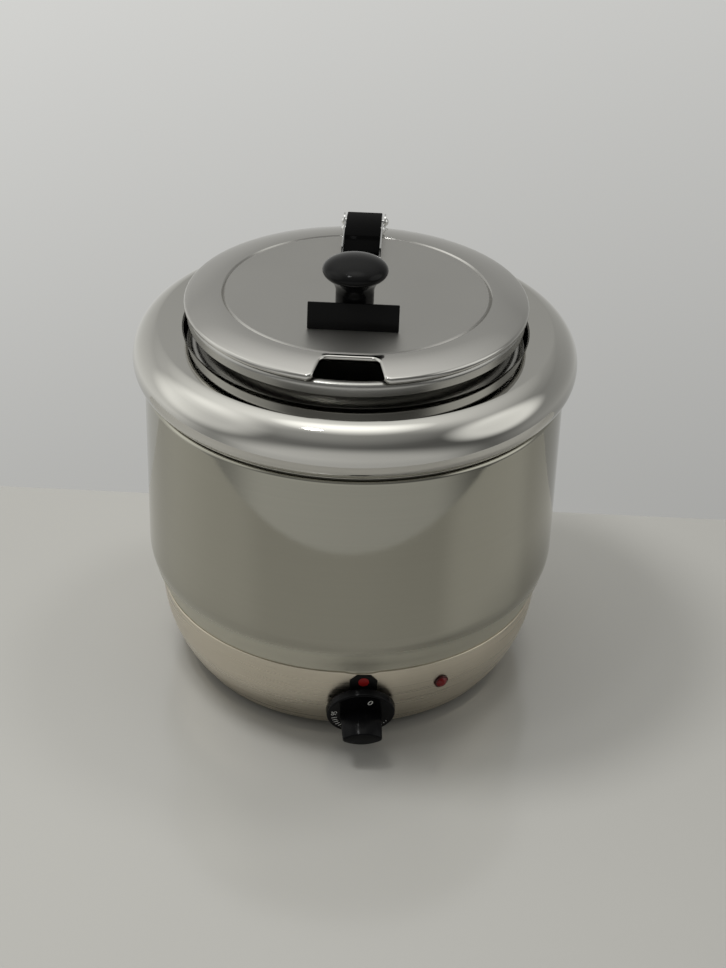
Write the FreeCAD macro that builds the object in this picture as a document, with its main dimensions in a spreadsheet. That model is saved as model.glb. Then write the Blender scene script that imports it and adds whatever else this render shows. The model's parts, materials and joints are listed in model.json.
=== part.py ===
"""Soup kettle: a wet-heat catering kettle with a lift-out pot and a hinged lid.

The upright axis of the kettle is Z, the table is z = 0 and the front faces -Y.
"""
import FreeCAD, Part
import math
import os

import Sketcher

doc = FreeCAD.newDocument("soup_kettle")
sheet = doc.addObject("Spreadsheet::Sheet", "dims")

# Driving dimensions in millimetres, degrees and plain ratios
SIZES = [
    ("sheet_wall", 1.0, "thickness of the pressed steel sheet"),
    ("seat_gap", 0.3, "clearance where a loose piece rests on its seat"),
    ("pin_gap", 0.05, "radial clearance of a pin or shaft in its hole"),
    ("screw_gap", 0.2, "radial clearance of a screw in its hole"),
    ("foot_height", 7.5, "table to floor plate"),
    ("foot_radius", 10.0, "rubber foot at its top"),
    ("foot_taper", 1.0, "rubber foot, top radius less bottom radius"),
    ("foot_inset", 26.0, "feet, centre in from the bottom edge of the base ring"),
    ("foot_recess_radius", 5.5, "screw recess in a foot"),
    ("foot_recess_depth", 3.0, "screw recess in a foot"),
    ("foot_screw_radius", 2.0, "shank of a foot screw"),
    ("screw_head_rise", 2.4, "height of a pan head"),
    ("nut_rise", 3.2, "height of a small nut"),
    ("base_taper", 22.5, "base ring, seam radius less bottom radius"),
    ("base_seam_radius", 151.5, "base ring at the seam"),
    ("base_height", 65.0, "base ring, bottom edge to seam"),
    ("base_bow", 0.083, "outward bow of the base ring, per chord"),
    ("base_lip", 13.0, "turned-in lip under the base ring"),
    ("base_screw_radius", 1.6, "shank of a base screw"),
    ("floor_plate_wall", 1.2, "thickness of the floor plate"),
    ("seam_gap", 0.7, "open line between base ring and shell"),
    ("seam_tongue", 5.0, "shell tongue that slips into the base ring"),
    ("seam_slot_width", 26.0, "vent slot in the front of the seam"),
    ("seam_slot_depth", 2.0, "vent slot in the front of the seam"),
    ("shell_flare", 9.8, "outer shell beyond the base ring at the seam"),
    ("shell_height", 174.5, "outer shell, seam to top flange"),
    ("bowl_height", 31.0, "curve at the foot of the shell"),
    ("bowl_bow", 0.03, "outward bow of that curve, per chord"),
    ("shell_shoulder", 3.0, "rounding at the top of the shell"),
    ("shell_flange", 12.0, "turned-in flange at the top of the shell"),
    ("well_gap", 5.0, "water well, inside, clear of the pot"),
    ("well_depth", 203.0, "water well, ledge to floor"),
    ("well_corner", 10.0, "water well, inside corner"),
    ("well_flange_inset", 3.8, "hanging flange of the well, in from the shell"),
    ("ledge_rise", 30.0, "pot ledge above the top of the shell"),
    ("ledge_width", 4.3, "pot ledge"),
    ("seal_height", 2.0, "seal under the collar"),
    ("seal_width", 6.0, "seal under the collar"),
    ("pot_radius", 120.0, "lift-out pot, outside"),
    ("pot_depth", 218.0, "lift-out pot, rim to outside floor"),
    ("pot_corner", 14.0, "lift-out pot, outside corner"),
    ("pot_bead", 7.5, "seat bead of the pot, beyond its wall"),
    ("pot_bead_height", 4.5, "seat bead of the pot"),
    ("rim_rise", 30.0, "pot rim above its ledge"),
    ("rim_overhang", 8.0, "rolled rim of the pot, beyond its wall"),
    ("rim_band", 9.5, "depth of the turned-down rim"),
    ("rim_round", 3.0, "rounding of the rim"),
    ("collar_swell", 7.3, "collar at its widest, beyond its foot"),
    ("collar_height", 40.2, "collar, seat to top"),
    ("collar_belly", 12.5, "height of the widest line above the seat"),
    ("collar_overhang", 1.1, "collar beyond the shell, where it leaves it"),
    ("collar_land", 20.0, "flat top of the collar, out from its opening"),
    ("collar_low_bow", 0.09, "bow of the collar below its widest line"),
    ("collar_high_bow", 0.2, "bow of the collar above its widest line"),
    ("collar_gap", 3.0, "opening in the collar, clear of the pot rim"),
    ("collar_throat", 12.0, "turned-down edge round the opening"),
    ("collar_edge_round", 1.5, "rounding of that edge"),
    ("collar_flange", 11.0, "turned-in flange under the collar"),
    ("lid_overhang", 2.5, "lid at its edge, beyond the pot rim"),
    ("lid_height", 9.7, "lid, seat to top of the disc"),
    ("lid_edge_rise", 4.7, "lid, seat to top of the edge"),
    ("lid_disc_radius", 101.0, "flat disc of the lid, out to its crease"),
    ("lid_crease", 1.3, "depth and half width of the crease"),
    ("lid_bow", 0.05, "bow of the lid's flank, per chord"),
    ("lid_curl", 6.5, "turned-in edge of the lid"),
    ("notch_width", 46.0, "ladle notch"),
    ("notch_depth", 25.5, "ladle notch, from the lid's edge"),
    ("notch_round", 9.0, "inner corners of the ladle notch"),
    ("knob_forward", 43.0, "lid knob, forward of the lid's centre"),
    ("knob_head_radius", 24.3, "lid knob, head"),
    ("knob_neck_radius", 14.2, "lid knob, neck"),
    ("knob_foot_radius", 18.0, "lid knob, foot"),
    ("knob_height", 46.5, "lid knob"),
    ("knob_head_height", 10.5, "lid knob, head"),
    ("knob_edge", 2.5, "rounding of the lid knob's edges"),
    ("knob_bore_depth", 21.0, "threaded bore of the lid knob"),
    ("knob_screw_radius", 2.5, "shank of the lid knob's screw"),
    ("knob_washer_radius", 8.0, "washer under the lid"),
    ("tag_width", 67.0, "blank tag plate"),
    ("tag_height", 20.0, "blank tag plate"),
    ("tag_wall", 2.0, "blank tag plate"),
    ("tag_reach", 22.0, "tag plate, forward of the knob's axis"),
    ("tag_tongue_width", 34.0, "tongue clamped under the knob"),
    ("tag_lean", 13.0, "backward lean of the tag plate, degrees"),
    ("hinge_gap", 8.0, "hinge pin, behind the edge of the lid"),
    ("hinge_rise", 5.7, "hinge pin, above the lid's seat"),
    ("hinge_knuckle", 7.0, "radius of the knuckle round the hinge pin"),
    ("hinge_pin_radius", 2.0, "hinge pin and block pin"),
    ("pin_head_radius", 3.4, "domed head of a pin"),
    ("pin_head_rise", 2.2, "domed head of a pin"),
    ("block_width", 28.2, "black hinge block"),
    ("block_top", 7.0, "top of the block above the lid's disc"),
    ("block_step", 2.6, "step down at the front of the block"),
    ("block_step_back", 86.0, "step of the block, behind the axis"),
    ("block_front_back", 64.0, "front of the block, behind the axis"),
    ("block_pin_back", 107.0, "block pin, behind the axis"),
    ("bracket_wall", 1.2, "sheet of the hinge brackets"),
    ("bracket_front_back", 46.0, "front of the lid bracket, behind the axis"),
    ("bracket_rear_back", 113.0, "rear of the lid bracket, behind the axis"),
    ("bracket_rivet_back", 55.0, "lid rivets, behind the axis"),
    ("bracket_rivet_side", 8.0, "lid rivets, to each side"),
    ("rivet_radius", 1.6, "shank of a rivet"),
    ("rivet_head_radius", 3.2, "head of a rivet"),
    ("rivet_head_rise", 1.2, "head of a rivet"),
    ("ear_length", 12.0, "ears of the collar bracket, front to back"),
    ("ear_round", 4.8, "rounded tips of those ears"),
    ("ear_rivet_side", 10.0, "collar rivets, to each side"),
    ("dial_azimuth", 6.5, "dial, degrees to the right of the front"),
    ("dial_level", 36.0, "dial axis at the face of the base ring"),
    ("dial_radius", 26.6, "skirt of the dial"),
    ("dial_skirt", 6.5, "thickness of the skirt"),
    ("dial_edge", 1.0, "chamfer of the skirt"),
    ("dial_gap", 0.8, "dial clear of the pointer plate"),
    ("grip_width", 32.0, "lens-shaped grip of the dial"),
    ("grip_thickness", 16.0, "grip of the dial, at its middle"),
    ("grip_tip", 4.0, "blunt sides of the grip"),
    ("grip_height", 22.5, "grip of the dial above the skirt"),
    ("grip_taper", 2.0, "taper of the grip, degrees"),
    ("grip_round", 1.2, "rounding at the end of the grip"),
    ("spindle_radius", 3.0, "thermostat spindle"),
    ("spindle_reach", 18.0, "spindle inside the dial"),
    ("bush_radius", 5.0, "threaded bush of the thermostat"),
    ("bush_nut_radius", 8.0, "nut on that bush"),
    ("bush_nut_rise", 2.2, "nut on that bush"),
    ("thermostat_side", 34.0, "thermostat case, width and height"),
    ("thermostat_depth", 24.0, "thermostat case"),
    ("thermostat_set_back", 4.0, "thermostat case behind the base face"),
    ("pointer_width", 21.0, "pointer plate"),
    ("pointer_top", 33.8, "pointer plate above the dial axis"),
    ("pointer_wall", 1.2, "pointer plate"),
    ("pointer_turn", 3.0, "pointer plate, degrees clockwise of upright"),
    ("pointer_dot_radius", 4.0, "red dot on the pointer plate"),
    ("pointer_dot_drop", 6.3, "red dot, centre below the top of the plate"),
    ("pointer_dot_rise", 0.5, "red dot on the pointer plate"),
    ("lamp_azimuth", 31.2, "lamp, degrees to the right of the front"),
    ("lamp_level", 50.5, "lamp axis at the face of the base ring"),
    ("lamp_lens_radius", 5.8, "lamp lens"),
    ("lamp_lens_rise", 4.0, "lamp lens"),
    ("lens_rim", 1.2, "straight rim of the lamp lens"),
    ("lamp_body_radius", 4.4, "lamp body"),
    ("lamp_body_length", 22.0, "lamp body"),
    ("gland_level", 36.0, "cable gland axis"),
    ("gland_shank_radius", 7.5, "cable gland in its hole"),
    ("gland_flange_radius", 11.0, "cable gland outside"),
    ("gland_length", 15.0, "cable gland outside"),
    ("gland_flange_length", 6.5, "cable gland, wide part"),
    ("gland_bore_radius", 3.8, "cable gland bore"),
    ("panel_nut_rise", 3.0, "nuts behind the base ring"),
    ("heater_circle", 72.0, "heating element ring"),
    ("heater_tube_radius", 4.0, "heating element tube"),
    ("heater_sweep", 325.0, "heating element ring, degrees"),
    ("heater_leg", 14.0, "legs of the heating element"),
    ("clamp_width", 18.0, "clamp bar under the element"),
    ("clamp_wall", 2.0, "clamp bar under the element"),
    ("clamp_stud_radius", 3.0, "stud under the well"),
    ("cutout_radius", 8.5, "thermal cut-out"),
    ("cutout_height", 9.0, "thermal cut-out"),
    ("cutout_side", 34.0, "thermal cut-out, to the right of the axis"),
    ("bulb_radius", 3.0, "thermostat bulb"),
    ("bulb_length", 70.0, "thermostat bulb"),
    ("bulb_forward", 36.0, "thermostat bulb, forward of the axis"),
    ("capillary_radius", 1.0, "capillary tube"),
    ("capillary_bend", 4.0, "capillary tube, radius of a bend"),
    ("capillary_dip", 8.0, "capillary tube, beyond the bulb"),
    ("capillary_run", 18.0, "capillary tube, straight out of the thermostat"),
    ("terminal_width", 42.0, "terminal block"),
    ("terminal_depth", 18.0, "terminal block"),
    ("terminal_height", 19.0, "terminal block"),
    ("terminal_back", 62.0, "terminal block, behind the axis"),
    ("terminal_screw_radius", 2.2, "terminal screws"),
]


class Dim:
    """A length that knows both its value and the expression that gives it."""

    def __init__(self, text, value):
        self.text = text
        self.value = float(value)

    @staticmethod
    def of(thing):
        if isinstance(thing, Dim):
            return thing
        return Dim(repr(float(thing)), thing)

    def __add__(self, other):
        other = Dim.of(other)
        return Dim(f"({self.text} + {other.text})", self.value + other.value)

    def __sub__(self, other):
        other = Dim.of(other)
        return Dim(f"({self.text} - {other.text})", self.value - other.value)

    def __mul__(self, other):
        other = Dim.of(other)
        return Dim(f"({self.text} * {other.text})", self.value * other.value)

    def __truediv__(self, other):
        other = Dim.of(other)
        return Dim(f"({self.text} / {other.text})", self.value / other.value)

    def __radd__(self, other):
        return Dim.of(other) + self

    def __rsub__(self, other):
        return Dim.of(other) - self

    def __rmul__(self, other):
        return Dim.of(other) * self

    def __neg__(self):
        return Dim(f"(-1 * {self.text})", -self.value)


class Sizes:
    """The sheet's cells as attributes."""


s = Sizes()
for row, (alias, number, note) in enumerate(SIZES, start=1):
    sheet.set(f"A{row}", note)
    sheet.set(f"B{row}", str(number))
    sheet.setAlias(f"B{row}", alias)
doc.recompute()
for alias, number, note in SIZES:
    setattr(s, alias, Dim(f"dims.{alias}", getattr(sheet, alias)))

# Levels above the table, from the driving dimensions
base_level = s.foot_height - s.sheet_wall
plate_level = s.foot_height
plate_top = plate_level + s.floor_plate_wall
seam = base_level + s.base_height
shell_top = seam + s.shell_height
ledge = shell_top + s.ledge_rise
well_floor = ledge - s.well_depth
well_under = well_floor - s.sheet_wall
seal_level = shell_top + s.sheet_wall
collar_seat = seal_level + s.seal_height + s.seat_gap
collar_top = collar_seat + s.collar_height
rim = ledge + s.rim_rise
lid_seat = rim + s.seat_gap
lid_top = lid_seat + s.lid_height
lid_under = lid_top - s.sheet_wall
hinge_level = lid_seat + s.hinge_rise
knob_seat = lid_top + s.tag_wall

# Radii and places that follow from the base ring and the pot
base_bottom_radius = s.base_seam_radius - s.base_taper
foot_circle = base_bottom_radius - s.foot_inset
shell_radius = s.base_seam_radius + s.shell_flare
well_flange_radius = shell_radius - s.well_flange_inset
collar_foot_radius = shell_radius + s.collar_overhang
collar_radius = collar_foot_radius + s.collar_swell
well_radius = s.pot_radius + s.well_gap
rim_edge = s.pot_radius + s.rim_overhang
collar_opening = rim_edge + s.collar_gap
collar_crown_radius = collar_opening + s.collar_land
lid_radius = rim_edge + s.lid_overhang
hinge_back = lid_radius + s.hinge_gap

# Bow of an arc that turns through a right angle, per chord
QUARTER = (1 - math.cos(math.pi / 4)) / (2 * math.sin(math.pi / 4))


# How near an edge counts as lying at a level
EDGE_REACH = 0.01


# Drawing helpers

def dome(radius, rise):
    """Bow of the arc that crowns a dome squarely on its axis, per chord."""
    slant = Dim(f"sqrt({radius.text} ^ 2 + {rise.text} ^ 2)", math.hypot(radius.value, rise.value))
    return (slant - radius) / (rise * 2)


def origin_plane(body, role):
    """The origin plane of a body that has the given role."""
    return [f for f in body.Origin.OriginFeatures if f.Role == role][0]


def new_body(name):
    """An empty solid body."""
    return doc.addObject("PartDesign::Body", name)


def arc_through(start, end, bow):
    """The arc from start to end that bows by bow chords, turning anticlockwise."""
    chord = end - start
    length = chord.Length
    radius = length * (0.25 + bow * bow) / (2 * bow)
    across = FreeCAD.Vector(-chord.y, chord.x, 0) / length
    centre = start + chord * 0.5 + across * (radius - bow * length)
    first = math.atan2(start.y - centre.y, start.x - centre.x)
    last = math.atan2(end.y - centre.y, end.x - centre.x)
    if last < first:
        last += 2 * math.pi
    circle = Part.Circle(centre, FreeCAD.Vector(0, 0, 1), radius)
    return Part.ArcOfCircle(circle, first, last)


def profile(body, name, corners, plane="XZ_Plane"):
    """A closed sketch through corners, each (across, up) or (across, up, bow).

    A bow bends the edge to the next corner: to the right of the way along the
    outline where it is positive, and to the left where it is negative.
    """
    sketch = body.newObject("Sketcher::SketchObject", name)
    sketch.AttachmentSupport = (origin_plane(body, plane), [""])
    sketch.MapMode = "FlatFace"
    dims = [(Dim.of(c[0]), Dim.of(c[1]), Dim.of(c[2]) if len(c) > 2 else None) for c in corners]
    spots = [FreeCAD.Vector(across.value, up.value, 0) for across, up, bow in dims]
    starts, ends, radii = [], [], []
    for i, (across, up, bow) in enumerate(dims):
        j = (i + 1) % len(dims)
        if bow is None:
            sketch.addGeometry(Part.LineSegment(spots[i], spots[j]))
            starts.append(1)
            ends.append(2)
            continue
        turns_left = bow.value > 0
        first, last = (i, j) if turns_left else (j, i)
        sketch.addGeometry(arc_through(spots[first], spots[last], abs(bow.value)))
        starts.append(1 if turns_left else 2)
        ends.append(2 if turns_left else 1)
        run = dims[j][0] - across
        climb = dims[j][1] - up
        size = bow if turns_left else -bow
        share = (0.25 + size * size) / (2 * size)
        chord = Dim(f"sqrt({run.text} ^ 2 + {climb.text} ^ 2)", math.hypot(run.value, climb.value))
        radii.append((i, chord * share))
    for i in range(len(dims)):
        j = (i + 1) % len(dims)
        sketch.addConstraint(Sketcher.Constraint("Coincident", i, ends[i], j, starts[j]))
    for i, (across, up, bow) in enumerate(dims):
        for kind, axis, size in (("DistanceX", -2, across), ("DistanceY", -1, up)):
            if size.text == "0.0":
                sketch.addConstraint(Sketcher.Constraint("PointOnObject", i, starts[i], axis))
                continue
            number = sketch.addConstraint(Sketcher.Constraint(kind, -1, 1, i, starts[i], size.value))
            sketch.setExpression(f"Constraints[{number}]", size.text)
    for i, size in radii:
        number = sketch.addConstraint(Sketcher.Constraint("Radius", i, size.value))
        sketch.setExpression(f"Constraints[{number}]", size.text)
    return sketch


def place(thing, at=(0, 0, 0), turn=None):
    """Put a thing at a place given by sizes, turned by (axis, degrees)."""
    if turn:
        axis, degrees = turn
        turned = FreeCAD.Rotation(FreeCAD.Vector(*axis), degrees)
        thing.Placement = FreeCAD.Placement(FreeCAD.Vector(), turned)
    for way, size in zip("xyz", at):
        size = Dim.of(size)
        if size.text != "0.0":
            thing.setExpression(f"Placement.Base.{way}", size.text)
    return thing


def lathe(name, corners, at=(0, 0, 0), turn=None):
    """A body turned about its upright axis from a half profile."""
    body = new_body(name)
    sketch = profile(body, name + "_profile", corners)
    turned = body.newObject("PartDesign::Revolution", name + "_turned")
    turned.Profile = sketch
    turned.ReferenceAxis = (sketch, ["V_Axis"])
    turned.Angle = 360
    return place(body, at, turn)


def pad(name, corners, plane, thickness, at=(0, 0, 0)):
    """A body of even thickness, centred on the plane of its outline."""
    body = new_body(name)
    sketch = profile(body, name + "_outline", corners, plane)
    solid = body.newObject("PartDesign::Pad", name + "_pad")
    solid.Profile = sketch
    solid.SideType = "Symmetric"
    solid.setExpression("Length", Dim.of(thickness).text)
    return place(body, at)


def box(name, low, high):
    """A box between two corners given by sizes."""
    thing = doc.addObject("Part::Box", name)
    for side, a, b in zip(("Length", "Width", "Height"), low, high):
        thing.setExpression(side, (Dim.of(b) - Dim.of(a)).text)
    return place(thing, low)


def rod(name, radius, length, at=(0, 0, 0), turn=None):
    """A round bar along its own Z from the given place."""
    thing = doc.addObject("Part::Cylinder", name)
    thing.setExpression("Radius", Dim.of(radius).text)
    thing.setExpression("Height", Dim.of(length).text)
    return place(thing, at, turn)


def fuse(name, *things):
    """One solid from several that meet."""
    joined = doc.addObject("Part::MultiFuse", name)
    joined.Shapes = list(things)
    joined.Refine = True
    return joined


def cut(name, thing, *tools):
    """A thing less its tools."""
    tool = tools[0]
    if len(tools) > 1:
        tool = doc.addObject("Part::MultiFuse", name + "_tools")
        tool.Shapes = list(tools)
    left = doc.addObject("Part::Cut", name)
    left.Base = thing
    left.Tool = tool
    left.Refine = True
    return left


def copies(name, master, spots):
    """A group of copies of a master solid at the given places."""
    doc.recompute()
    group = doc.addObject("Part::Feature", name)
    moved = []
    for spot in spots:
        copy = master.Shape.copy()
        copy.Placement = spot.multiply(copy.Placement)
        moved.append(copy)
    group.Shape = Part.makeCompound(moved)
    return group


def round_spots(count, first_angle):
    """Turns about the upright axis, evenly spread."""
    up = FreeCAD.Vector(0, 0, 1)
    angles = [first_angle + 360.0 * i / count for i in range(count)]
    return [FreeCAD.Placement(FreeCAD.Vector(), FreeCAD.Rotation(up, angle)) for angle in angles]


def edges_at(shape, level):
    """Names of the edges that lie wholly at a level of a shape."""
    names = []
    for number, edge in enumerate(shape.Edges, start=1):
        if all(abs(vertex.Z - level) < EDGE_REACH for vertex in edge.Vertexes):
            names.append(f"Edge{number}")
    return names


nodes = []


def keep(label, thing):
    """Name a finished piece."""
    thing.Label = label
    nodes.append(thing)
    return thing


def base_face(level, azimuth):
    """A place on the base ring's outer face, with Z outward and Y up the face."""
    low = FreeCAD.Vector(base_bottom_radius.value, base_level.value, 0)
    high = FreeCAD.Vector(s.base_seam_radius.value, seam.value, 0)
    arc = arc_through(low, high, s.base_bow.value)
    climb = level.value - arc.Center.y
    reach = math.sqrt(arc.Radius ** 2 - climb ** 2)
    tilt = math.degrees(math.atan2(climb, reach))
    about_axis = FreeCAD.Rotation(FreeCAD.Vector(0, 0, 1), azimuth)
    lean = FreeCAD.Rotation(FreeCAD.Vector(1, 0, 0), 90 - tilt)
    spot = about_axis.multVec(FreeCAD.Vector(0, -(arc.Center.x + reach), level.value))
    return FreeCAD.Placement(spot, about_axis.multiply(lean))


def on_face(thing, face, depth=0, across=0, up=0):
    """Put a thing on a face, at a depth along its normal."""
    shift = FreeCAD.Vector(Dim.of(across).value, Dim.of(up).value, Dim.of(depth).value)
    thing.Placement = face.multiply(FreeCAD.Placement(shift, FreeCAD.Rotation()))
    return thing


def panel_hole(name, radius, face):
    """A cutter for a screw-fit hole through the base ring at a face."""
    reach = s.base_lip * 3
    return on_face(rod(name, radius + s.screw_gap, reach), face, -reach / 2)


def tube(name, points, radius, bend):
    """A round tube along straight runs joined by arcs."""
    edges = []
    here = points[0]
    for before, corner, after in zip(points, points[1:], points[2:]):
        inward = (before - corner).normalize()
        onward = (after - corner).normalize()
        half_turn = (math.pi - inward.getAngle(onward)) / 2
        back = bend * math.tan(half_turn)
        middle = (inward + onward).normalize()
        centre = corner + middle * (bend / math.cos(half_turn))
        start = corner + inward * back
        end = corner + onward * back
        edges.append(Part.LineSegment(here, start).toShape())
        edges.append(Part.Arc(start, centre - middle * bend, end).toShape())
        here = end
    edges.append(Part.LineSegment(here, points[-1]).toShape())
    path = Part.Wire(edges)
    ring = Part.Wire([Part.Circle(points[0], points[1] - points[0], radius).toShape()])
    thing = doc.addObject("Part::Feature", name)
    thing.Shape = path.makePipeShell([ring], True, False)
    return thing


# Places on the base ring
dial_face = base_face(s.dial_level, s.dial_azimuth.value)
lamp_face = base_face(s.lamp_level, s.lamp_azimuth.value)
gland_face = base_face(s.gland_level, 180.0)

# Feet, their screws and nuts
foot_solid = doc.addObject("Part::Cone", "foot_solid")
foot_solid.setExpression("Radius1", (s.foot_radius - s.foot_taper).text)
foot_solid.setExpression("Radius2", s.foot_radius.text)
foot_solid.setExpression("Height", s.foot_height.text)
place(foot_solid, (foot_circle, 0, 0))
foot_recess = rod("foot_recess", s.foot_recess_radius, s.foot_recess_depth, (foot_circle, 0, 0))
foot_hole = rod("foot_hole", s.foot_screw_radius + s.screw_gap, s.foot_height, (foot_circle, 0, 0))
foot = cut("foot", foot_solid, foot_recess, foot_hole)
FOOT_COUNT = 4
FOOT_START = 45.0
foot_spots = round_spots(FOOT_COUNT, FOOT_START)
keep("feet", copies("foot_group", foot, foot_spots))

foot_screw_top = plate_top + s.nut_rise + s.screw_head_rise / 2
foot_screw = lathe("foot_screw", [
    (0, s.foot_recess_depth - s.screw_head_rise),
    (s.foot_screw_radius * 2, s.foot_recess_depth - s.screw_head_rise),
    (s.foot_screw_radius * 2, s.foot_recess_depth),
    (s.foot_screw_radius, s.foot_recess_depth),
    (s.foot_screw_radius, foot_screw_top),
    (0, foot_screw_top),
], (foot_circle, 0, 0))
keep("foot_screws", copies("foot_screw_group", foot_screw, foot_spots))

foot_nut = lathe("foot_nut", [
    (s.foot_screw_radius + s.pin_gap, plate_top),
    (s.foot_screw_radius * 2, plate_top),
    (s.foot_screw_radius * 2, plate_top + s.nut_rise),
    (s.foot_screw_radius + s.pin_gap, plate_top + s.nut_rise),
], (foot_circle, 0, 0))
keep("foot_nuts", copies("foot_nut_group", foot_nut, foot_spots))

# Floor plate on the base ring's lip, and the screws through both
base_screw_circle = base_bottom_radius - s.base_lip / 2
base_screw_spots = round_spots(FOOT_COUNT, 0.0)
plate_radius = base_bottom_radius - s.sheet_wall * 2
plate_disc = rod("plate_disc", plate_radius, s.floor_plate_wall, (0, 0, plate_level))
foot_hole_radius = s.foot_screw_radius + s.screw_gap
plate_foot_hole = rod("plate_foot_hole", foot_hole_radius, plate_top, (foot_circle, 0, 0))
lip_hole = rod("lip_hole", s.base_screw_radius + s.pin_gap, plate_top, (base_screw_circle, 0, 0))
plate_holes = copies("plate_holes", plate_foot_hole, foot_spots)
lip_holes = copies("lip_holes", lip_hole, base_screw_spots)
keep("floor_plate", cut("floor_plate", plate_disc, plate_holes, lip_holes))

base_screw = lathe("base_screw", [
    (0, base_level - s.screw_head_rise),
    (s.base_screw_radius * 2, base_level - s.screw_head_rise),
    (s.base_screw_radius * 2, base_level),
    (s.base_screw_radius, base_level),
    (s.base_screw_radius, plate_top + s.nut_rise),
    (0, plate_top + s.nut_rise),
], (base_screw_circle, 0, 0))
keep("base_screws", copies("base_screw_group", base_screw, base_screw_spots))

# Base ring, a bowed band of brushed sheet with a turned-in lip
base_inside = base_bottom_radius - s.sheet_wall
base_band = lathe("base_band", [
    (base_bottom_radius - s.base_lip, base_level),
    (base_bottom_radius, base_level, s.base_bow),
    (s.base_seam_radius, seam),
    (s.base_seam_radius - s.sheet_wall, seam, -s.base_bow),
    (base_inside, base_level + s.sheet_wall),
    (base_bottom_radius - s.base_lip, base_level + s.sheet_wall),
])
bush_hole = panel_hole("bush_hole", s.bush_radius, dial_face)
lamp_hole = panel_hole("lamp_hole", s.lamp_body_radius, lamp_face)
gland_hole = panel_hole("gland_hole", s.gland_shank_radius, gland_face)
slot_reach = s.base_seam_radius + s.sheet_wall * 2
slot_low = seam - s.seam_slot_depth
seam_slot = doc.addObject("Part::Box", "seam_slot")
seam_slot.setExpression("Length", s.seam_slot_width.text)
seam_slot.setExpression("Width", (s.sheet_wall * 8).text)
seam_slot.setExpression("Height", (s.seam_slot_depth * 2).text)
slot_corner = FreeCAD.Vector(-s.seam_slot_width.value / 2, -slot_reach.value, slot_low.value)
slot_turn = FreeCAD.Rotation(FreeCAD.Vector(0, 0, 1), s.dial_azimuth.value)
seam_slot.Placement = FreeCAD.Placement(slot_turn.multVec(slot_corner), slot_turn)
keep("base_ring", cut("base_ring", base_band, bush_hole, lamp_hole, gland_hole, seam_slot, lip_holes))

# Outer shell, whose tongue slips into the base ring
tongue = s.base_seam_radius - s.sheet_wall - s.seat_gap
shell_foot = seam + s.seam_gap
shell_inside = shell_radius - s.sheet_wall
body_shell = lathe("body_shell", [
    (tongue - s.sheet_wall, seam - s.seam_tongue),
    (tongue, seam - s.seam_tongue),
    (tongue, shell_foot),
    (s.base_seam_radius, shell_foot, s.bowl_bow),
    (shell_radius, shell_foot + s.bowl_height),
    (shell_radius, shell_top - s.shell_shoulder, QUARTER),
    (shell_radius - s.shell_shoulder, shell_top),
    (shell_radius - s.shell_flange, shell_top),
    (shell_radius - s.shell_flange, shell_top - s.sheet_wall),
    (shell_radius - s.shell_shoulder, shell_top - s.sheet_wall, -QUARTER),
    (shell_inside, shell_top - s.shell_shoulder),
    (shell_inside, shell_foot + s.bowl_height, -s.bowl_bow),
    (s.base_seam_radius - s.sheet_wall, shell_foot + s.sheet_wall),
    (tongue - s.sheet_wall, shell_foot + s.sheet_wall),
])
keep("body_shell", body_shell)

# Water well, hung from the shell's flange, with the ledge that the pot sits on
ledge_edge = well_radius + s.ledge_width
well_outside = well_radius + s.sheet_wall
water_well = lathe("water_well", [
    (0, well_under),
    (well_radius - s.well_corner, well_under, QUARTER),
    (well_outside, well_floor + s.well_corner),
    (well_outside, ledge - s.sheet_wall),
    (ledge_edge - s.sheet_wall, ledge - s.sheet_wall),
    (ledge_edge - s.sheet_wall, shell_top),
    (well_flange_radius, shell_top),
    (well_flange_radius, seal_level),
    (ledge_edge, seal_level),
    (ledge_edge, ledge),
    (well_radius, ledge),
    (well_radius, well_floor + s.well_corner, -QUARTER),
    (well_radius - s.well_corner, well_floor),
    (0, well_floor),
])
keep("water_well", water_well)

seal_outside = well_flange_radius - s.sheet_wall
keep("collar_seal", lathe("collar_seal", [
    (seal_outside - s.seal_width, seal_level),
    (seal_outside, seal_level),
    (seal_outside, seal_level + s.seal_height),
    (seal_outside - s.seal_width, seal_level + s.seal_height),
]))

# Heating element, clamped under the well's floor
heater_level = well_under - s.heater_tube_radius
heater_gap_half = (360.0 - s.heater_sweep.value) / 2
heater_ring = doc.addObject("Part::Torus", "heater_ring")
heater_ring.setExpression("Radius1", s.heater_circle.text)
heater_ring.setExpression("Radius2", s.heater_tube_radius.text)
heater_ring.setExpression("Angle3", s.heater_sweep.text)
place(heater_ring, (0, 0, heater_level), ((0, 0, 1), 90 + heater_gap_half))
heater_legs = []
for side in (1, -1):
    angle = math.radians(90 + side * heater_gap_half)
    leg_across = s.heater_circle * math.cos(angle)
    leg_back = s.heater_circle * math.sin(angle)
    spot = (leg_across, leg_back, heater_level - s.heater_leg)
    heater_legs.append(rod("heater_leg", s.heater_tube_radius, s.heater_leg, spot))
keep("heating_element", fuse("heating_element", heater_ring, *heater_legs))

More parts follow.
